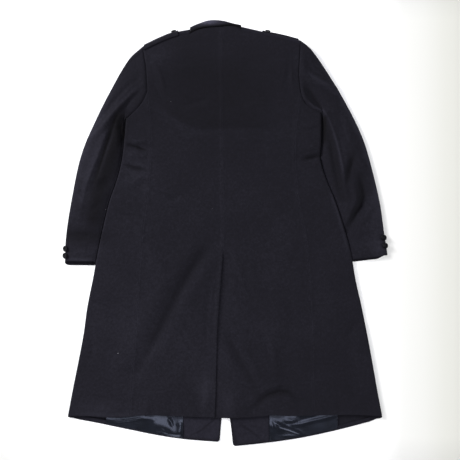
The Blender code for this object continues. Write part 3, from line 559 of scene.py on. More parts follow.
def read(rows, column, place):
    """Read a named column of a table in millimetres at places along its first column, in metres."""
    places = [row[0] for row in rows]
    return follow(places, [getattr(row, column) for row in rows], np.asarray(place) / MM) * MM


def length_marks(points):
    """The length along a line at each of its points."""
    return np.concatenate(((0.0,), np.cumsum(np.linalg.norm(np.diff(points, axis=0), axis=1))))


def walk(points, share):
    """Plan points at shares of the length of the smooth line through points."""
    lengths = length_marks(points)
    place = np.asarray(share) * lengths[-1]
    return np.stack((follow(lengths, points[:, 0], place), follow(lengths, points[:, 1], place)), -1)


def hem_y(hem, x):
    """How far up a hem lies at each x."""
    return follow(hem[:, 0], hem[:, 1], x)


def plan(x, y):
    return np.stack(np.broadcast_arrays(x, y), -1)


def hem_line(hem, first_x, last_x, share):
    """Plan points on a hem, at shares of the way across."""
    x = mix(first_x, last_x, share)
    return plan(x, hem_y(hem, x))


def body_line(column, y):
    """Plan points on a seam or an edge of the body."""
    return plan(read(BODY, column, y), y)


def shoulder_line(side, share):
    """Plan points along the shoulder seam, where its turn starts."""
    return walk(SHOULDER[side], share) - np.array((0.0, SHOULDER_TURN))


def solid_points(xy, z):
    return np.concatenate((xy, np.broadcast_to(z, xy.shape[:-1])[..., None]), -1)


def fill(low, high, first, last, across, along):
    """Fill the plan between four edges whose ends meet."""
    u = across[:, None]
    v = along[:, None]
    zero = np.zeros(1)
    one = np.ones(1)
    corners = mix(mix(low(zero), low(one), u), mix(high(zero), high(one), u), v)
    return mix(first, last, u) + mix(low(across), high(across), v) - corners


# Relief of the lying cloth

def near_path(x, y, path):
    """Distance from a path, the side of it, and the share of its length, for each place."""
    best = np.full(x.shape, np.inf)
    side = np.zeros(x.shape)
    place = np.zeros(x.shape)
    steps = np.hypot(*(path[1:] - path[:-1]).T)
    total = steps.sum()
    done = 0.0
    for start, end, length in zip(path, path[1:], steps):
        way = (end - start) / length
        along = (x - start[0]) * way[0] + (y - start[1]) * way[1]
        across = (x - start[0]) * way[1] - (y - start[1]) * way[0]
        past = np.maximum(np.maximum(-along, along - length), 0.0)
        square = across * across + past * past
        closer = square < best
        best = np.where(closer, square, best)
        side = np.where(closer, np.sign(across), side)
        place = np.where(closer, (done + np.clip(along, 0.0, length)) / total, place)
        done += length
    return np.sqrt(best), side, place


def near_line(x, y, line, reach):
    """1 on a line, fading out beside it."""
    return np.exp(-(near_path(x, y, line)[0] / reach) ** 2)


def folds_rise(x, y, rows):
    """Sum of the ridges and troughs."""
    total = np.zeros(x.shape)
    for fold in rows:
        distance, side, place = near_path(x, y, fold.path)
        reach = fold.reach * MM * (1 + fold.lean * side)
        strength = np.exp(-(distance / reach) ** 2)
        if fold.taper:
            strength = strength * np.sin(pi * np.clip(place, FADE_END, 1 - FADE_END)) ** FADE_POWER
        total += fold.rise * MM * strength
    return total


def seam_lines():
    """The seams that show on the upper side, and the kind of each."""
    lines = []
    for side, name in SIDES.items():
        lines.append(("panel", body_line(name + "_seam", np.linspace(HEM_Y, ARMHOLE_UP[side][0, 1], 24))))
        for kind, path in (("armhole", ARMHOLE_UP), ("armhole", ARMHOLE_DOWN), ("neck", NECK)):
            lines.append((kind, walk(path[side], np.linspace(0, 1, 9))))
    lines.append(("centre", body_line("centre", np.linspace(VENT_TOP, CENTRE_NECK_Y, 16))))
    return lines


def seams_rise(x, y):
    """The seams' grooves and low bands, and the steps where the hem's turn-up prints through."""
    total = np.zeros(x.shape)
    for kind, line in seam_lines():
        if kind in ("panel", "centre"):
            total += BAND_RISE * near_line(x, y, line, BAND_REACH)
        total -= GROOVE_DEPTH[kind] * near_line(x, y, line, GROOVE_REACH[kind])
    for line in HEM_STEPS:
        total += HEM_STEP_RISE * near_line(x, y, line, HEM_STEP_REACH)
    return total


def undulation(x, y):
    """Slow unevenness of pressed wool, at two sizes."""
    total = np.zeros(x.shape)
    for rise, length in UNDULATION:
        places = plan(x, y).reshape(-1, 2) / length
        values = np.array([noise.noise(Vector((a, b, rise / MM))) for a, b in places])
        total += rise * values.reshape(x.shape)
    return total


def patch_lift(patch, x, y):
    across = (x / MM - patch.x) / patch.across
    along = (y / MM - patch.y) / patch.along
    return patch.lift * np.exp(-across ** 2 - along ** 2)


def nap_and_shade_lift(x, y):
    """How much lighter the colour is painted: patches and strokes of painted light and shade, with some of the
    wool's own tone, and a little lighter along the seams.
    """
    total = sum(patch_lift(patch, x, y) for patch in NAP_AND_SHADE_PATCHES.values()) + folds_rise(x, y, NAP_AND_SHADE_STROKES) / MM
    for kind, line in seam_lines():
        if kind in NAP_SEAM:
            total += NAP_SEAM[kind] * near_line(x, y, line, NAP_SEAM_REACH[kind])
    return total


def relief(x, y):
    return folds_rise(x, y, FOLDS) + folds_rise(x, y, CREASES) + seams_rise(x, y) + undulation(x, y)


def back_height(x, y, detail=True):
    """Height of the back's outer face."""
    left = read(BODY, "left_edge", y)
    right = read(BODY, "right_edge", y)
    across = np.minimum(np.abs((2 * x - left - right) / (right - left)), 1.0)
    height = mix(read(BACK_HEIGHTS, "middle", y), read(BACK_HEIGHTS, "side", y), across ** CROWN_POWER)
    for pad_x, pad_y in PADS:
        height = height + PAD_RISE * np.exp(-((x - pad_x) ** 2 + (y - pad_y) ** 2) / PAD_REACH ** 2)
    return height + (relief(x, y) if detail else folds_rise(x, y, FOLDS))


def under_height(x, y):
    """Height of the underside's outer face: the table, or the lift over the lapels and buttons."""
    flat = 1.0
    for lift in LIFTS:
        left = ramp(x / MM, lift.left_none, lift.left_full)
        right = 1 - ramp(x / MM, lift.right_full, lift.right_none)
        flat = flat * (1 - left * right * ramp(y / MM, lift.low_none, lift.low_full))
    return CHEST_LIFT * (1 - flat) + folds_rise(x, y, UNDER_CREASES)


def front_height(side, x, y):
    """Height of a front's outer face: the right front lies on the left one where they lap."""
    height = under_height(x, y)
    if side == RIGHT:
        left_edge = read(FRONT_EDGES, "left", y)
        lapped = 1 - ramp(x, left_edge + LAP_MARGIN, left_edge + 2 * LAP_MARGIN)
        height = height + (CLOTH + LAP_EASE) * lapped * ramp(y, LAP_LOW_Y, LAP_FULL_Y)
    return height


def turn(inner, toward, reach, top, bottom, angle):
    """Points on the turn of an edge: angle 0 faces up, 90 degrees faces out and 180 faces down."""
    across = (toward * np.sin(angle)[:, None])
    xy = inner + across * np.reshape(reach, (-1, 1))
    z = (top + bottom) / 2 + (top - bottom) / 2 * np.cos(angle)
    return solid_points(xy, z), solid_points(across, np.cos(angle))


def facing(points, way):
    return points, np.broadcast_to(way, points.shape)


def choose(conditions, choices):
    """Take each row of points and ways from the first choice whose condition holds."""
    points = choices[-1][0].copy()
    ways = np.array(choices[-1][1])
    for condition, (other_points, other_ways) in reversed(list(zip(conditions, choices))):
        points[condition] = other_points[condition]
        ways[condition] = other_ways[condition]
    return points, ways


def round_corner(side, xy):
    """Draw the lower front corner in to a quarter circle."""
    x, y = xy.T
    inward = CORNER_ROUND - side * (x - read(FRONT_EDGES, SIDES[side], y))
    upward = CORNER_ROUND - (y - hem_y(FRONT_HEM[side], x))
    length = np.maximum(np.hypot(inward, upward), CORNER_ROUND * 0.01)
    near = (inward > 0) & (upward > 0)
    spare = np.where(near, 1 - np.maximum(inward, upward) / length, 0.0)
    return plan(x + side * inward * spare, y + upward * spare)


# Panels of the body: each takes shares across and along, and gives points and ways out

def upper_armhole(side):
    """The armhole's back seam from its pitch point to the shoulder's turn."""
    line = ARMHOLE_UP[side].copy()
    line[-1, 1] -= SHOULDER_TURN
    return line


def outer_seam(side, hem, along):
    """Up the side back seam from a hem, then up the armhole, with the foot of that line and the share
    of its rise at each place."""
    def points(along):
        seam = SIDES[side] + "_seam"
        foot_y = hem_y(hem, read(BODY, seam, HEM_Y))
        y = mix(foot_y, ARMHOLE_UP[side][0, 1], np.minimum(along / SKIRT_PART, 1.0))
        upper = walk(upper_armhole(side), unit((along - SKIRT_PART) / (1 - SKIRT_PART)))
        return np.where((along < SKIRT_PART)[:, None], body_line(seam, y), upper)

    outer = points(along)
    foot, top = points(np.array((0.0, 1.0)))
    return outer, foot, (outer[:, 1] - foot[1]) / (top[1] - foot[1])


def back_top(side, across):
    """Along the shoulder seam, then the neck seam to the middle."""
    shoulder = shoulder_line(side, np.minimum(across / SHOULDER_PART, 1.0))
    neck = walk(NECK[side], unit((across - SHOULDER_PART) / (1 - SHOULDER_PART)))
    return np.where((across < SHOULDER_PART)[:, None], shoulder, neck)


def centre_edge(side, share):
    """The centre seam's edge, or the edge of the vent's extension below it."""
    y = mix(hem_y(BACK_HEM, CENTRE_HEM_X), CENTRE_NECK_Y, share)
    x = read(BODY, "centre", y) - side * SEAM_OVERLAP
    if side == RIGHT:
        x = x - VENT_EXTENSION * (1 - ramp(y, EXTENSION_TOP - EXTENSION_SLOPE, EXTENSION_TOP))
    return plan(x, y)


def back_surface(side):
    def surface(across, along):
        outer, foot, share = outer_seam(side, BACK_HEM, along)
        centre_x = centre_edge(side, np.zeros(1))[0, 0]
        xy = fill(lambda u: hem_line(BACK_HEM, foot[0], centre_x, u), lambda u: back_top(side, u),
                  outer, centre_edge(side, share), across, share)
        x, y = xy.T
        z = back_height(x, y)
        if side == RIGHT:
            edge = read(BODY, "centre", y)
            below = 1 - ramp(y, VENT_TOP - VENT_DROP_SLOPE, VENT_TOP)
            over = 1 - ramp(x, edge + VENT_DROP_EDGE, edge + VENT_BLEND)
            z = z - (CLOTH + LAP_EASE) * below * over
        return facing(solid_points(xy, z), UP)
    return surface


def side_body_surface(side):
    """Shares across run from 0 to 1 on the back, to 2 round the side edge and to 3 on the front."""
    name = SIDES[side]
    turn_x = np.array((side * SIDE_TURN, 0.0))
    line = ARMHOLE_DOWN[side].copy()
    underarm = line[-1] + np.array((0.0, UNDERARM_RISE))
    line[-1] = underarm - turn_x
    seam_x = read(BODY, name + "_seam", HEM_Y)
    edge_x = float(read(BODY, name + "_edge", HEM_Y)) - side * SIDE_TURN

    def half(hem, foot, across, along):
        seam = body_line(name + "_seam", mix(hem_y(hem, seam_x), ARMHOLE_UP[side][0, 1], along))
        edge = body_line(name + "_edge", mix(foot, underarm[1], along)) - turn_x

        def low(u):
            x, y = hem_line(hem, seam_x, edge_x, u).T
            return plan(x, mix(y, foot, ramp(u, HEM_CORNER, 1.0)))

        return fill(low, lambda u: walk(line, u), seam, edge, across, along), edge

    def surface(across, along):
        above, edge = half(BACK_HEM, HEM_Y, unit(across), along)
        below, low_edge = half(FRONT_HEM[side], FRONT_FOOT[side], unit(3 - across), along)
        top = facing(solid_points(above, back_height(*above.T)), UP)
        under = facing(solid_points(below, under_height(*below.T)), DOWN)
        angle = pi * unit(across - 1)
        edge = mix(edge, low_edge, (angle / pi)[:, None])
        toward = np.broadcast_to(np.array((side, 0.0)), edge.shape)
        round_edge = turn(edge, toward, SIDE_TURN, back_height(*edge.T), under_height(*edge.T), angle)
        return choose((across <= 1, across < 2), (top, round_edge, under))
    return surface


def shoulder_turn(side, share, angle, lift=0.0):
    """Points on the shoulder's turn: share runs from the armhole to the neck."""
    inner = shoulder_line(side, share)
    toward = np.broadcast_to(np.array((0.0, 1.0)), inner.shape)
    bottom = front_height(side, *inner.T)
    points, ways = turn(inner, toward, SHOULDER_TURN, back_height(*inner.T, detail=False), bottom, angle)
    return points + ways * lift, ways


def front_foot(side):
    """The foot of the front edge."""
    return FRONT_HEM[side][-1 if side == LEFT else 0]


def front_surface(side):
    """Shares along run from 0 at the hem to 1 at the shoulder, and to 2 over its turn."""
    seam_x = float(read(BODY, SIDES[side] + "_seam", HEM_Y))
    last_x, last_y = front_foot(side)

    def surface(across, along):
        outer, foot, share = outer_seam(side, FRONT_HEM[side], np.minimum(along, 1.0))
        y = mix(last_y, shoulder_line(side, np.ones(1))[0, 1], share)
        xy = fill(lambda u: hem_line(FRONT_HEM[side], seam_x, last_x, u), lambda u: shoulder_line(side, u),
                  outer, plan(read(FRONT_EDGES, SIDES[side], y), y), across, share)
        xy = round_corner(side, xy)
        panel = facing(solid_points(xy, front_height(side, *xy.T)), DOWN)
        over = shoulder_turn(side, across, pi * unit(2 - along))
        return choose((along <= 1,), (panel, over))
    return surface


# Sleeves

def armhole_line(side):
    """The armhole from the shoulder down to the sleeve's own inner turn."""
    lower = ARMHOLE_DOWN[side].copy()
    lower[-1, 0] -= side * SIDE_TURN
    up = walk(upper_armhole(side), np.linspace(1, 0, ARMHOLE_CELLS[0] + 1))
    down = walk(lower, np.linspace(0, 1, ARMHOLE_CELLS[1] + 1))[1:]
    down[-1] = ARMHOLE_DOWN[side][-1] + np.array((side * (SLEEVE_CLEAR + UNDERARM_TURN), 0.0))
    return np.concatenate((up, down))


def sleeve_plan(side, part, share):
    """Plan points at parts across the flat sleeve, and how its two edges turn."""
    turned = ramp(share, 0.0, HEAD_SHARE)[:, None]
    outline = SLEEVE_EDGE[side]
    outer = walk(outline, share)
    above = walk(outline, np.maximum(share - EDGE_SHARE_STEP, 0.0))
    below = walk(outline, np.minimum(share + EDGE_SHARE_STEP, 1.0))
    square = side * np.stack((above[:, 1] - below[:, 1], below[:, 0] - above[:, 0]), -1)
    square /= np.linalg.norm(square, axis=1)[:, None]
    out_way = mix(np.array((0.0, 1.0)), square, turned)
    out_way /= np.linalg.norm(out_way, axis=1)[:, None]
    out_turn = mix(SHOULDER_TURN, SLEEVE_TURN, turned)
    inner_y = mix(ARMHOLE_DOWN[side][-1, 1], CUFF_INNER_Y[side], share ** UNDERARM_EASING)
    body_x, next_x = (read(BODY, SIDES[side] + "_edge", y) for y in (inner_y, inner_y + EDGE_STEP))
    slant = (next_x - body_x) / EDGE_STEP
    in_way = np.stack((np.full(slant.shape, -float(side)), side * slant), -1)
    in_way /= np.linalg.norm(in_way, axis=1)[:, None]
    in_turn = mix(SLEEVE_TURN, UNDERARM_TURN, (1 - np.minimum(share / UNDERARM_FADE, 1.0))[:, None] ** 2)
    start = outer - out_way * out_turn
    end = plan(body_x + side * SLEEVE_CLEAR, inner_y) - in_way * in_turn
    line = armhole_line(side)
    places = np.linspace(0, 1, len(line))
    lengths = length_marks(line)
    near = np.interp(part, places, lengths / lengths[-1])[:, None]
    spot = np.stack([follow(places, line[:, axis], part) for axis in (0, 1)], -1)
    even = ramp(share, EVEN_CELLS_FROM, EVEN_CELLS_TO)[:, None]
    reach = HEAD_BULGE_SHARE * (1 - near) + HEAD_BULGE_LEAST
    fade = np.maximum(0.0, 1 - share[:, None] / reach) ** 2
    bulge = (spot - mix(line[0], line[-1], near)) * fade
    xy = mix(start, end, mix(near, part[:, None], even)) + bulge
    return xy, (out_way, out_turn[:, 0]), (in_way, in_turn[:, 0])


def sleeve_height(side, part, share, xy):
    """Height of the sleeve's upper face, with the roll of its head just off the armhole."""
    shares = [row.share for row in SLEEVE_HEIGHTS]
    outer, crown, inner = (follow(shares, [getattr(row, column) for row in SLEEVE_HEIGHTS], share) * MM
                           for column in ("outer", "crown", "inner"))
    bulge = (4 * part * (1 - part)) ** SLEEVE_CROWN_POWER
    x, y = xy.T
    height = mix(mix(outer, inner, part), crown, bulge) + relief(x, y)
    height = mix(back_height(x, y), height, ramp(share, 0.0, HEAD_SHARE))
    distance = near_path(x, y, armhole_line(side))[0]
    roll = np.exp(-((distance - SLEEVE_ROLL_OFFSET) / SLEEVE_ROLL_REACH) ** 2)
    return height + SLEEVE_ROLL_RISE * roll * ramp(part, 0.0, ROLL_FROM) * (1 - ramp(part, ROLL_TO, 1.0))


def sleeve_surface(side):
    """Parts across run 0 to 1 on top, to 2 round the inner edge, to 3 below and to 4 up the outer edge."""
    def surface(across, along):
        zeros = np.zeros(across.shape)
        first, outs, ins = sleeve_plan(side, zeros, along)
        near = sleeve_plan(side, zeros + STRIP_TEST, along)[0]
        strip = STRIP_TEST * HINDARM_STRIP / np.linalg.norm(near - first, axis=1)
        part = np.where(across >= 4, strip * (across - 4), 1.0)
        part = unit(np.where(across <= 1, mix(strip, 1.0, across), part))
        lap = CUFF_LAP[side] * ramp(along, CUFF_LAP_SHARE, 1.0)

        xy = sleeve_plan(side, part, along)[0]
        top = facing(solid_points(xy, sleeve_height(side, part, along, xy)), UP)
        under_part = unit(3 - across)
        below = sleeve_plan(side, under_part, along)[0]
        height = under_height(*below.T)
        outer_lap = CUFF_LAP_OUTER[side]
        below = below - plan(0.0, lap * mix(outer_lap, 1.0, ramp(under_part, 0.0, CUFF_LAP_PART[side])))
        under = facing(solid_points(below, height), DOWN)

        last = sleeve_plan(side, zeros + 1, along)[0]
        angle = pi * unit(across - 1)
        inner = turn(last, ins[0], ins[1], sleeve_height(side, zeros + 1, along, last),
                     under_height(*last.T), angle)
        inner[0][:, 1] -= lap * angle / pi
        angle = pi * unit(4 - across)
        outer = turn(first, outs[0], outs[1], sleeve_height(side, zeros, along, first),
                     under_height(*first.T), angle)
        outer[0][:, 1] -= lap * outer_lap * angle / pi
        on_top = (across <= 1) | (across >= 4)
        return choose((on_top, across < 2, across <= 3), (top, inner, under, outer))
    return surface


# Collar, lapels, finishing and epaulettes

COLLAR_CREASES = folds(
    collar="""
        1.6 16 0 1  -98,610 -60,628 -20,632 6,630
        -1.2 8 0 1  8,634 22,622 30,612
    """,
)


def collar_surface(across, along):
    """Shares along run 0 to 1 up from the neck seam, to 2 round the roll and to 3 down the fall."""
    left = walk(NECK[LEFT], np.minimum(2 * across, 1.0))
    right = walk(NECK[RIGHT], unit(2 - 2 * across))
    seam = np.where((across < 0.5)[:, None], left, right)
    x, y = seam.T
    roll_y = hem_y(COLLAR_ROLL, x)
    reach = np.minimum(COLLAR_TURN, (roll_y - y) / 2)
    top = back_height(x, y, detail=False) + folds_rise(x, y, COLLAR_CREASES)
    bottom = np.full(x.shape, CHEST_LIFT - EASE - CLOTH)
    inner = plan(x, roll_y - reach)
    rise = unit(along)
    stand = solid_points(plan(x, mix(y, inner[:, 1], rise)), top + COLLAR_STAND_RISE * np.sin(pi * rise / 2))
    toward = np.broadcast_to(np.array((0.0, 1.0)), inner.shape)
    angle = pi * unit(along - 1)
    roll = turn(inner, toward, reach, top + COLLAR_STAND_RISE, bottom, angle)
    share = unit(along - 2)
    middle_x = (NECK[LEFT][0, 0] + NECK[RIGHT][0, 0]) / 2
    fall = plan(x + (x - middle_x) * COLLAR_SPREAD * share, inner[:, 1] - COLLAR_FALL * share)
    return choose((along <= 1, along < 2), (facing(stand, UP), roll, facing(solid_points(fall, bottom), DOWN)))


LINING_CREASES = folds(
    left="""
        1.7 4.5 0 1  -376,-552 -346,-557 -314,-560 -286,-557 -250,-552 -210,-556
        3.4 19 0 0  -212,-570 -188,-576 -168,-584 -150,-600
        2.4 10 0 0  -136,-572 -136,-592
        -1.3 4.5 0.2 1  -172,-551 -163,-563 -158,-578
        0.7 4 0.2 1  -212,-590 -190,-586 -170,-600
    """,
    right="""
        2.6 15 0 0  134,-576 158,-578
        1 5 0 1  139,-560 141,-590 140,-618
        3 5 -0.2 1  148,-566 168,-578 188,-584 206,-591 230,-601
        1.9 6 0 1  178,-576 207,-572 226,-569 253,-561 290,-553 330,-544
        1.8 8 0 1  172,-558 195,-560 216,-558
        2 8 0 1  216,-540 244,-539 270,-536
        0.35 4 0.2 1  160,-606 190,-604 224,-606
    """,
)
FACING_CREASES = folds(
    facings="""
        1.7 6 0.5 1  -112,-611 -78,-595 -30,-559
        0.9 14 0 1  -110,-566 -80,-562 -50,-560
        1.3 7 0.3 1  36,-556 74,-580 108,-606
        0.9 14 0 1  40,-606 66,-616 100,-604
    """,
)
# Painted shade along the facings' creases and beside their front edges.
FACING_PAINTED_SHADE = folds(
    facings="""
        -0.5 3.5 0.3 1  -106,-603 -72,-587 -28,-550
        -0.3 4 0.3 1  34,-560 70,-586 104,-612
        -0.45 5 0 0  -118,-612 -26,-620 -16,-600 -12,-548
        -0.45 5 0 0  116,-623 34,-632 24,-610 14,-550
    """,
)


def finish_surface(side, first_x, last_x, low_rise, thickness, rise=None, creases=(), edge=False):
    """A piece on the inner face of a front, from above its hem to the top line or by a rise. Satin lies
    over the turn-up. A piece with an edge ends along the front edge."""
    def surface(across, along):
        x = mix(first_x, last_x, across)
        hem = hem_y(FRONT_HEM[side], x)
        high = FINISH_TOP if rise is None else hem + rise
        y = mix(hem + low_rise, high, along)
        z = front_height(side, x, y) + CLOTH + EASE + thickness
        puff = folds_rise(x, y, creases)
        if thickness == SATIN:
            z = z + CLOTH + EASE
            puff = puff * ramp(y - hem, 0.0, SATIN_FALL)
            puff = np.maximum(puff, -CLOTH * ramp(y - hem, TURNUP, TURNUP + SATIN_STEP))
        else:
            puff = np.maximum(puff, -EASE)
        if edge:
            foot_y = hem_y(FRONT_HEM[side], last_x) + low_rise
            front = read(FRONT_EDGES, SIDES[side], mix(foot_y, FINISH_TOP, along))
            x = x + (front + side * HEM_INSET - last_x) * across
            x, y = round_corner(side, plan(x, y)).T
        return facing(solid_points(plan(x, y), z + puff), UP)
    return surface


def facing_surface(side):
    return finish_surface(side, FACING_EDGE[side], front_foot(side)[0] + side * HEM_INSET, HEM_INSET, CLOTH,
                          creases=FACING_CREASES, edge=True)


def epaulette_surface(side):
    """Shares along run 0 to 1 on the back, to 2 round the shoulder and to 3 on the front."""
    first_share, last_share = EPAULETTE_SHARES[side]
    first_angle, last_angle = np.radians(EPAULETTE_ANGLES[side])
    lift = EPAULETTE_EASE + EPAULETTE_CLOTH

    def surface(across, along):
        share = mix(first_share, last_share, across)
        x, y = walk(SHOULDER[side], share).T
        over = solid_points(plan(x, y - EPAULETTE_OVER[side]), back_height(x, y, detail=False) + lift)
        start = shoulder_turn(side, share, np.full(x.shape, first_angle), lift)[0]
        over = mix(over, start, unit(along)[:, None])
        round_edge = shoulder_turn(side, share, mix(first_angle, last_angle, unit(along - 1)), lift)
        end = shoulder_turn(side, share, np.full(x.shape, last_angle), lift)[0]
        end[:, 1] -= EPAULETTE_UNDER[side] * unit(along - 2)
        return choose((along <= 1, along <= 2), (facing(over, UP), round_edge, facing(end, DOWN)))
    return surface


# Materials

def linear(code):
    """A colour from its sRGB hex value, as the shader takes it."""
    parts = [int(code[place:place + 2], 16) / 255 for place in (1, 3, 5)]
    return [part / 12.92 if part <= 0.04045 else ((part + 0.055) / 1.055) ** 2.4 for part in parts] + [1.0]


def add_node(tree, kind, settings=(), values=(), links=()):
    """Add a node with its settings, its inputs' values, and links from other nodes' outputs."""
    node = tree.nodes.new(kind)
    for name, value in dict(settings).items():
        setattr(node, name, value)
    for name, value in dict(values).items():
        node.inputs[name].default_value = value
    for name, source in dict(links).items():
        tree.links.new(source, node.inputs[name])
    return node


def new_material(name, values):
    """A Principled material and the parts of its tree that patterns link to."""
    material = bpy.data.materials.new(name)
    material.use_nodes = True
    shader = material.node_tree.nodes["Principled BSDF"]
    for socket, value in values.items():
        shader.inputs[socket].default_value = value
    place = add_node(material.node_tree, "ShaderNodeTexCoord").outputs["Object"]
    return material, material.node_tree, shader, place


def colour_steps(tree, source, steps):
    """A colour ramp through hex colours at places."""
    ramp_node = add_node(tree, "ShaderNodeValToRGB", links={"Fac": source})
    band = ramp_node.color_ramp
    band.elements[0].position, band.elements[0].color = steps[0][0], linear(steps[0][1])
    band.elements[1].position, band.elements[1].color = steps[-1][0], linear(steps[-1][1])
    for position, code in steps[1:-1]:
        band.elements.new(position).color = linear(code)
    return ramp_node.outputs["Color"]


FIBRE = 0.9 * MM
NAP_CLUMP = 7 * MM
CLOUD = 110 * MM
# How strongly the painted light and shade shift the colour, and the lightest stop, reached where painted sheen
# lifts the colour most, as on the collar's roll.
NAP_AND_SHADE_SHARE = 0.4
BRUSHED_AND_SHEEN = "#3b3a47"
SATIN_RIB = 3.77 * MM
SATIN_CLOUD = 40 * MM
HORN_STREAK = 3 * MM
THREAD_TWIST = 10.05 * MM
# A wave's turns over one unit of length, across its bands and for each axis of a diagonal one
BAND_WAVE = 20 / (2 * pi)
DIAGONAL_WAVE = 10 / (2 * pi)


def make_melton(name, dark, middle, light):
    """Milled navy wool melton: the felted pile hides the weave, so it is matt, with a faint soft sheen
    where it is seen along its surface, small brushed clumps and slow clouds in its colour, and painted
    light and shade from a per-point attribute.
    Its fibres are drawn three times their real width so that they show."""
    material, tree, shader, place = new_material(name, {
        "Roughness": 0.92,
        "Specular IOR Level": 0.12,
        "Sheen Weight": 0.035,
        "Sheen Roughness": 0.45,
        "Sheen Tint": linear("#c9ccdc"),
    })
    fibre = add_node(tree, "ShaderNodeTexNoise", values={"Scale": 1 / FIBRE, "Detail": 3.0, "Roughness": 0.65},
                     links={"Vector": place})
    clump = add_node(tree, "ShaderNodeTexNoise",
                     values={"Scale": 1 / NAP_CLUMP, "Detail": 4.0, "Roughness": 0.6, "Distortion": 0.6},
                     links={"Vector": place})
    cloud = add_node(tree, "ShaderNodeTexNoise", values={"Scale": 1 / CLOUD, "Detail": 2.0},
                     links={"Vector": place})
    tone = add_node(tree, "ShaderNodeMix", {"data_type": "FLOAT"}, {0: 0.5},
                    {2: fibre.outputs["Fac"], 3: clump.outputs["Fac"]})
    tone = add_node(tree, "ShaderNodeMix", {"data_type": "FLOAT"}, {0: 0.14},
                    {2: tone.outputs[0], 3: cloud.outputs["Fac"]})
    # Painted light and shade, with some of the wool's own tone, read from the per-point attribute, lighten or
    # darken the colour here.
    nap_and_shade = add_node(tree, "ShaderNodeAttribute", {"attribute_name": "nap_and_shade"})
    tone = add_node(tree, "ShaderNodeMath", {"operation": "MULTIPLY_ADD"}, {1: NAP_AND_SHADE_SHARE},
                    {0: nap_and_shade.outputs["Fac"], 2: tone.outputs[0]})
    colour = colour_steps(tree, tone.outputs[0], ((0.1, dark), (0.5, middle), (0.88, light), (1.0, BRUSHED_AND_SHEEN)))
    tree.links.new(colour, shader.inputs["Base Color"])
    bump = add_node(tree, "ShaderNodeBump", values={"Strength": 0.35, "Distance": 0.25 * MM},
                    links={"Height": fibre.outputs["Fac"]})
    bump = add_node(tree, "ShaderNodeBump", values={"Strength": 0.4, "Distance": 0.6 * MM},
                    links={"Height": clump.outputs["Fac"], "Normal": bump.outputs["Normal"]})
    tree.links.new(bump.outputs["Normal"], shader.inputs["Normal"])
    return material


def make_satin():
    """Blue-grey acetate satin: long floats of thread give it a broad soft gloss. The ribs of its
    weave are drawn about twenty times as coarse as they are so that they show."""
    material, tree, shader, place = new_material("acetate_satin", {
        "Roughness": 0.21,
        "Specular IOR Level": 0.42,
        "Anisotropic": 0.3,
        "Specular Tint": linear("#d3ddff"),
    })
    rib = add_node(tree, "ShaderNodeTexWave", {"bands_direction": "X"},
                   {"Scale": 1 / SATIN_RIB / BAND_WAVE, "Distortion": 0.6, "Detail": 2.0, "Detail Scale": 6.0},
                   {"Vector": place})
    cloud = add_node(tree, "ShaderNodeTexNoise", values={"Scale": 1 / SATIN_CLOUD, "Detail": 3.0},
                     links={"Vector": place})
    colour = colour_steps(tree, cloud.outputs["Fac"], ((0.35, "#08090b"), (0.5, "#0b0c10"), (0.68, "#101217")))
    tree.links.new(colour, shader.inputs["Base Color"])
    bump = add_node(tree, "ShaderNodeBump", values={"Strength": 0.25, "Distance": 0.08 * MM},
                    links={"Height": rib.outputs["Fac"]})
    tree.links.new(bump.outputs["Normal"], shader.inputs["Normal"])
    return material


def make_horn():
    """Dark polyester buttons that imitate horn: glossy, with faint streaks in the black."""
    material, tree, shader, place = new_material("polished_dark_horn", {
        "Roughness": 0.36,
        "Specular IOR Level": 0.06,
    })
    streak = add_node(tree, "ShaderNodeTexNoise",
                      values={"Scale": 1 / HORN_STREAK, "Detail": 3.0, "Distortion": 2.5}, links={"Vector": place})
    colour = colour_steps(tree, streak.outputs["Fac"], ((0.35, "#070709"), (0.55, "#0d0d11"), (0.7, "#17161b")))
    tree.links.new(colour, shader.inputs["Base Color"])
    return material


def make_thread():
    """Twisted navy sewing thread, matt with a little shine along its strands. Its twist is drawn ten
    times as long as it is so that it shows."""
    material, tree, shader, place = new_material("navy_thread", {"Roughness": 0.7, "Specular IOR Level": 0.3})
    twist = add_node(tree, "ShaderNodeTexWave", {"bands_direction": "DIAGONAL"},
                     {"Scale": 1 / THREAD_TWIST / DIAGONAL_WAVE}, {"Vector": place})
    colour = colour_steps(tree, twist.outputs["Fac"], ((0.2, "#0d0d13"), (0.8, "#1d1d27")))
    tree.links.new(colour, shader.inputs["Base Color"])
    return material


def make_fluff():
    """Pale grey lint: loose, matt cotton fibres."""
    material, tree, shader, place = new_material("cotton_lint", {"Roughness": 0.95, "Specular IOR Level": 0.1})
    clump = add_node(tree, "ShaderNodeTexNoise", values={"Scale": 1 / FIBRE}, links={"Vector": place})
    colour = colour_steps(tree, clump.outputs["Fac"], ((0.3, "#4c4b50"), (0.7, "#77767c")))
    tree.links.new(colour, shader.inputs["Base Color"])
    return material


FLUFF = make_fluff()
MELTON = make_melton("navy_wool_melton", "#060508", "#121118", "#26252e")
MELTON_INSIDE = make_melton("navy_wool_melton_facing", "#08070b", "#14131b", "#282731")
ACETATE = make_satin()
HORN = make_horn()
THREAD = make_thread()


# Making pieces

def spread(first, last, count, fine=0.0, ends=1):
    """Places from first to last. A fineness below 1 brings them closer together at the first end, or
    at both ends."""
    even = np.linspace(0, 1, count + 1)
    return mix(first, last, even - fine * np.sin(ends * pi * even) / (ends * pi))


def chain(*runs):
    """Join runs of places that share their ends."""
    return np.concatenate([runs[0]] + [run[1:] for run in runs[1:]])


def put(piece, node, material):
    piece.data.materials.append(material)
    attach(piece, "root")
    if node:
        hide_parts(node)
    return piece


def object_from(name, mesh):
    data = bpy.data.meshes.new(name)
    mesh.to_mesh(data)
    mesh.free()
    data.shade_smooth()
    piece = bpy.data.objects.new(name, data)
    bpy.context.scene.collection.objects.link(piece)
    return piece


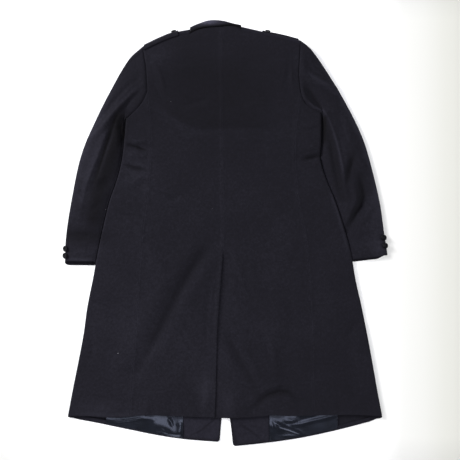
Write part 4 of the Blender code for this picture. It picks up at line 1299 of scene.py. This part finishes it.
def cloth(name, surface, columns, rows, material, thickness=CLOTH,
          nap_and_shade=nap_and_shade_lift):
    """A piece of cloth on a surface: a grid laid on it, thickened inwards, with rounded edges."""
    mesh = bmesh.new()
    bmesh.ops.create_grid(mesh, x_segments=len(columns) - 1, y_segments=len(rows) - 1, size=1)
    across, along = (values.ravel() for values in np.meshgrid(columns, rows))
    points, ways = surface(across, along)
    for vert, point in zip(mesh.verts, points):
        vert.co = point
    mesh.normal_update()
    outward = sum(vert.normal.dot(Vector(way)) for vert, way in zip(mesh.verts, ways))
    if outward < 0:
        bmesh.ops.reverse_faces(mesh, faces=mesh.faces)
    piece = object_from(name, mesh)
    # Painted light and shade, with some of the wool's own tone, kept per point for the material.
    lightness = piece.data.attributes.new("nap_and_shade", "FLOAT", "POINT")
    lightness.data.foreach_set("value", nap_and_shade(points[:, 0], points[:, 1]))
    wall = piece.modifiers.new("thickness", "SOLIDIFY")
    wall.thickness = thickness
    wall.offset = -1
    rounding = piece.modifiers.new("rounded edges", "BEVEL")
    rounding.width = min(EDGE_ROUND, thickness * EDGE_SHARE)
    rounding.segments = 2
    rounding.limit_method = "ANGLE"
    rounding.angle_limit = EDGE_ANGLE
    put(piece, name, material)
    return piece


def make_body():
    for side, name in SIDES.items():
        under = "front_" + name
        cloth("back_" + name, back_surface(side), spread(0, 1, 84, 0.65, 2), spread(0, 1, 290, 0.5, 2),
              MELTON)
        columns = chain(spread(0, 1, 48, 0.6), spread(1, 2, 12), spread(2, 3, 18))
        cloth("side_body_" + name, side_body_surface(side), columns, spread(0, 1, 240, 0.5, 2), MELTON)
        rows = chain(spread(0, 1, 120, 0.6), spread(1, 2, 10))
        cloth(under, front_surface(side), spread(0, 1, 40, 0.5, 2), rows, MELTON_INSIDE)


def make_sleeves():
    for side, name in SIDES.items():
        rows = spread(0, 1, 180, 0.5, 2)
        columns = chain(spread(0, 1, 62, 0.5), spread(1, 2, 12), spread(2, FOREARM_SEAM, 3))
        cloth("undersleeve_" + name, sleeve_surface(side), columns, rows, MELTON)
        columns = chain(spread(FOREARM_SEAM, 3, 26), spread(3, 4, 12), spread(4, 5, 3))
        cloth("topsleeve_" + name, sleeve_surface(side), columns, rows, MELTON)


def make_collar():
    rows = chain(spread(0, 1, 8), spread(1, 2, 14), spread(2, 3, 12))
    # The collar's roll gets painted sheen, with painted shade below it along the neck seam.
    cloth("collar", collar_surface, spread(0, 1, 60), rows, MELTON,
          nap_and_shade=lambda x, y: patch_lift(COLLAR_PAINTED_SHEEN, x, y) + folds_rise(x, y, COLLAR_PAINTED_SHADE) / MM)


def make_finishing():
    for side, name in SIDES.items():
        facing_x = FACING_EDGE[side]
        # The facings' own tone, with painted shade along their creases and edges.
        cloth("facing_" + name, facing_surface(side), spread(0, 1, 60), spread(0, 1, 60), MELTON_INSIDE,
              nap_and_shade=lambda x, y: FACING_NAP[side] + folds_rise(x, y, FACING_PAINTED_SHADE) / MM)
        lining_on = finish_surface(side, SATIN_EDGE[side], facing_x, SATIN_INSET, SATIN, creases=LINING_CREASES)
        cloth("lining_" + name, lining_on, spread(0, 1, 170), spread(0, 1, 60), ACETATE, SATIN)
        turnup_on = finish_surface(side, TURNUP_EDGE[side], facing_x, HEM_INSET, CLOTH, rise=TURNUP)
        cloth("hem_turnup_" + name, turnup_on, spread(0, 1, 120), spread(0, 1, 6), MELTON_INSIDE)


def make_epaulettes():
    for side, name in SIDES.items():
        rows = chain(spread(0, 1, 6), spread(1, 2, 14), spread(2, 3, 6))
        if not EPAULETTE_OVER[side]:
            rows = chain(spread(1, 2, 14), spread(2, 3, 8))
        cloth("epaulette_" + name, epaulette_surface(side), spread(0, 1, 46), rows, MELTON,
              thickness=EPAULETTE_CLOTH)


def make_lapels():
    """The lapels lie turned back on the outer face of the fronts."""
    for side, name in SIDES.items():
        mesh = bmesh.new()
        corners = [mesh.verts.new((x, y, CHEST_LIFT - EASE - CLOTH)) for x, y in LAPELS[side]]
        face = mesh.faces.new(corners)
        area = face.calc_area()
        raised = bmesh.ops.extrude_face_region(mesh, geom=[face])
        upper = [item for item in raised["geom"] if isinstance(item, bmesh.types.BMVert)]
        bmesh.ops.translate(mesh, verts=upper, vec=(0, 0, CLOTH))
        bmesh.ops.recalc_face_normals(mesh, faces=mesh.faces)
        bmesh.ops.bevel(mesh, geom=mesh.edges, offset=EDGE_ROUND, offset_type="OFFSET", segments=3, profile=0.5,
                        affect="EDGES", material=-1)
        piece = object_from("lapel_" + name, mesh)
        put(piece, "lapel_" + name, MELTON)


# Stitch rows: each runs on a piece's surface from one place to another, given in its shares
STITCH_LENGTH = 3.2 * MM
STITCH_PITCH = 4.4 * MM
STITCH_ROUND = 0.28 * MM
VENT_STITCH = 0.975
VENT_SHARE = 0.42
STRAP_STITCH = 0.05
STRAP_STITCH_FROM = {LEFT: 0.1, RIGHT: 1.0}
STRAP_STITCH_TO = 2.9
FACING_STITCH = 0.055
FACING_STITCH_FROM = 0.02


def sew_row(mesh, surface, first, last, count):
    """Lay joined stitches of thread on a surface, each pressed a little into the cloth."""
    shares = mix(np.array(first, float), np.array(last, float), np.linspace(0, 1, 4 * count)[:, None])
    points, ways = surface(*shares.T)
    lengths = length_marks(points)
    for start in np.arange(STITCH_PITCH, lengths[-1] - STITCH_PITCH, STITCH_PITCH):
        ends = [np.array([np.interp(place, lengths, points[:, axis]) for axis in range(3)])
                for place in (start, start + STITCH_LENGTH)]
        way = Vector(ways[min(int(np.searchsorted(lengths, start)), len(ways) - 1)])
        along = Vector(ends[1] - ends[0]).normalized()
        turned = Matrix((along.cross(way), way, along)).transposed().to_4x4()
        size = Matrix.Diagonal((STITCH_ROUND, STITCH_ROUND, STITCH_LENGTH / 2, 1.0))
        place = Matrix.Translation(Vector((ends[0] + ends[1]) / 2)) @ turned @ size
        bmesh.ops.create_icosphere(mesh, subdivisions=1, radius=1.0, matrix=place)


def make_stitches():
    rows = {"vent": [(back_surface(LEFT), (VENT_STITCH, 0.0), (VENT_STITCH, VENT_SHARE), 240)]}
    for side, name in SIDES.items():
        strap = epaulette_surface(side)
        rows["epaulette_" + name] = [
            (strap, (edge, STRAP_STITCH_FROM[side]), (edge, STRAP_STITCH_TO), 60)
            for edge in (STRAP_STITCH, 1 - STRAP_STITCH)
        ]
        corner = (1 - FACING_STITCH, FACING_STITCH)
        rows["front_edge_" + name] = [
            (facing_surface(side), corner, (1 - FACING_STITCH, 1.0), 60),
            (facing_surface(side), (FACING_STITCH_FROM, FACING_STITCH), corner, 60),
        ]
    for name, runs in rows.items():
        mesh = bmesh.new()
        for surface, first, last, count in runs:
            sew_row(mesh, surface, first, last, count)
        put(object_from("stitches_" + name, mesh), None, THREAD)


LINT = table("x y size", """
    -321 -357 2.2
    -358 72 1
    -163 393 1.1
    -40 75 0.9
""")
LINT_THICK = 0.3 * MM


def make_lint():
    """A few pale specks of lint that the photo shows on the wool."""
    mesh = bmesh.new()
    for speck in LINT:
        x, y, size = (value * MM for value in speck)
        z = float(back_height(np.array([x]), np.array([y]))[0])
        shape = Matrix.Diagonal((size, size / 2, LINT_THICK, 1.0))
        bmesh.ops.create_icosphere(mesh, subdivisions=2, radius=1.0, matrix=Matrix.Translation((x, y, z)) @ shape)
    put(object_from("lint", mesh), None, FLUFF)


# Buttons

# The button's outline from its back to its face, as shares of its radius and thickness
BUTTON_PROFILE = ((0.0, 0.02), (0.7, 0.0), (0.86, 0.08), (0.97, 0.3), (1.0, 0.52), (0.97, 0.8), (0.9, 0.97),
                  (0.82, 1.0), (0.74, 0.93), (0.66, 0.74), (0.56, 0.66), (0.3, 0.62), (0.0, 0.61))
BUTTON_FACE = 0.62
BUTTON_STEPS = 40
RIM_SHARE = 0.95
THREAD_SPACING = 3.2 * MM
THREAD_BAR = (2.17 * MM, 0.55 * MM, 0.45 * MM, 1.0)
WELD = 0.01 * MM


def dress_button(node):
    """A turned button with a dished face, in the place of its plain solid."""
    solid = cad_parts[node].data
    places = np.array([vert.co for vert in solid.vertices])
    centre = places.mean(0)
    spans = np.linalg.svd(np.unique(np.round(places - centre, 6), axis=0), full_matrices=False)
    axis = Vector(spans[2][2])
    heights = (places - centre) @ np.array(axis)
    radii = np.linalg.norm(places - centre - np.outer(heights, np.array(axis)), axis=1)
    radius = float(radii.max())
    rim = heights[radii > radius * RIM_SHARE].mean()
    if abs(heights.max() - rim) < abs(heights.min() - rim):
        axis = -axis
        heights = -heights
    low, high = float(heights.min()), float(heights.max())
    mesh = bmesh.new()
    outline = [mesh.verts.new((radius * across, 0, low + (high - low) * up)) for across, up in BUTTON_PROFILE]
    edges = [mesh.edges.new(pair) for pair in zip(outline, outline[1:])]
    bmesh.ops.spin(mesh, geom=outline + edges, cent=(0, 0, 0), axis=(0, 0, 1), angle=2 * pi,
                   steps=BUTTON_STEPS, use_merge=True)
    bmesh.ops.remove_doubles(mesh, verts=mesh.verts, dist=WELD)
    bmesh.ops.recalc_face_normals(mesh, faces=mesh.faces)
    place = Matrix.Translation(Vector(centre)) @ Vector((0, 0, 1)).rotation_difference(axis).to_matrix().to_4x4()
    bmesh.ops.transform(mesh, matrix=place, verts=mesh.verts)
    put(object_from(node, mesh), node, HORN)
    return place, low + (high - low) * BUTTON_FACE


def sew_button(node, place, face):
    """Sewing thread: two bars across the dished face."""
    mesh = bmesh.new()
    for y in (-THREAD_SPACING / 2, THREAD_SPACING / 2):
        bar = Matrix.Translation((0, y, face)) @ Matrix.Diagonal(THREAD_BAR)
        bmesh.ops.create_uvsphere(mesh, u_segments=12, v_segments=8, radius=1.0, matrix=place @ bar)
    put(object_from(node + "_thread", mesh), None, THREAD)


def make_buttons():
    for node in sorted(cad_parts):
        if "button" in node:
            sew_button(node, *dress_button(node))


# Floor, light and camera

# The camera looks straight down, so far off that a pixel is this wide at the coat's height
PIXEL = 2.987 * MM
PICTURE = 460
IMAGE_CENTRE = (12.9 * MM, 10.9 * MM)
LENS = 85.0
SENSOR = 36.0
EYE_LEVEL = 10 * MM
FLOOR_HALF = 15.0

# Painted shade on the paper across and along the picture, darker towards its edges and most of all near its right
# edge, over a square of twice this half width
PAPER_HALF = 0.8
PAPER_GLOW = 0.3
PAPER_ACROSS = ((0.06, "#cdcdca"), (0.13, "#d8d8d5"), (0.25, "#f6f6f8"), (0.72, "#f8f8f9"), (0.83, "#cfcfcc"),
                (0.87, "#cacac6"), (0.91, "#c2c2bc"), (0.95, "#bbbbb4"), (0.98, "#d6d6d4"))
PAPER_ALONG = ((0.05, "#e6e6e8"), (0.12, "#f8f8f9"), (0.9, "#fafafb"), (0.96, "#efeff1"))


DAYLIGHT = "#f8f9ff"
DAYLIGHT_STRENGTH = 0.34
# Each lamp's place, width, length and power. All of them point at the coat.
LAMPS = {
    "key": ((-4.0, 2.3, 2.5), 2.0, 2.0, 430.0),
    "right fill": ((3.6, -0.6, 1.7), 1.8, 1.8, 80.0),
    "low fill": ((-0.6, -4.0, 2.0), 2.0, 2.0, 50.0),
    "ceiling lamp": ((-0.15, -0.1, 4.2), 2.0, 1.0, 27.0),
}


def make_stage():
    """White paper that the coat lies on, uneven in its light as the photo's is."""
    mesh = bmesh.new()
    bmesh.ops.create_grid(mesh, x_segments=1, y_segments=1, size=FLOOR_HALF)
    floor = object_from("floor", mesh)
    material, tree, shader, place = new_material("white_paper", {"Roughness": 0.9, "Specular IOR Level": 0.1})
    split = add_node(tree, "ShaderNodeSeparateXYZ", links={"Vector": place})
    shades = []
    for axis, steps in (("X", PAPER_ACROSS), ("Y", PAPER_ALONG)):
        place = add_node(tree, "ShaderNodeMapRange", values={"From Min": -PAPER_HALF, "From Max": PAPER_HALF},
                         links={"Value": split.outputs[axis]})
        shades.append(colour_steps(tree, place.outputs["Result"], steps))
    colour = add_node(tree, "ShaderNodeMix", {"data_type": "RGBA", "blend_type": "MULTIPLY"}, {0: 1.0},
                      {6: shades[0], 7: shades[1]}).outputs[2]
    tree.links.new(colour, shader.inputs["Base Color"])
    # Painted glow: the paper gives off a little light of its own in these shades, which keeps shadows on it faint.
    tree.links.new(colour, shader.inputs["Emission Color"])
    shader.inputs["Emission Strength"].default_value = PAPER_GLOW
    floor.data.materials.append(material)


def make_light():
    world = bpy.data.worlds.new("studio")
    bpy.context.scene.world = world
    world.use_nodes = True
    background = world.node_tree.nodes["Background"]
    background.inputs["Color"].default_value = linear(DAYLIGHT)
    background.inputs["Strength"].default_value = DAYLIGHT_STRENGTH
    for name, (place, width, length, power) in LAMPS.items():
        lamp = bpy.data.lights.new(name, "AREA")
        lamp.size = width
        if length != width:
            lamp.shape = "RECTANGLE"
            lamp.size_y = length
        lamp.energy = power
        light = bpy.data.objects.new(name, lamp)
        light.location = place
        light.rotation_euler = (-Vector(place)).to_track_quat("-Z", "Y").to_euler()
        bpy.context.scene.collection.objects.link(light)


def make_camera():
    data = bpy.data.cameras.new("camera")
    data.lens = LENS
    data.sensor_width = SENSOR
    camera = bpy.data.objects.new("camera", data)
    camera.location = (*IMAGE_CENTRE, EYE_LEVEL + PICTURE * PIXEL * LENS / SENSOR)
    bpy.context.scene.collection.objects.link(camera)
    bpy.context.scene.camera = camera
    bpy.context.scene.view_settings.view_transform = "Standard"


make_stage()
make_light()
make_camera()
make_body()
make_sleeves()
make_collar()
make_finishing()
make_epaulettes()
make_lapels()
make_stitches()
make_lint()
make_buttons()

bpy.context.view_layer.update()
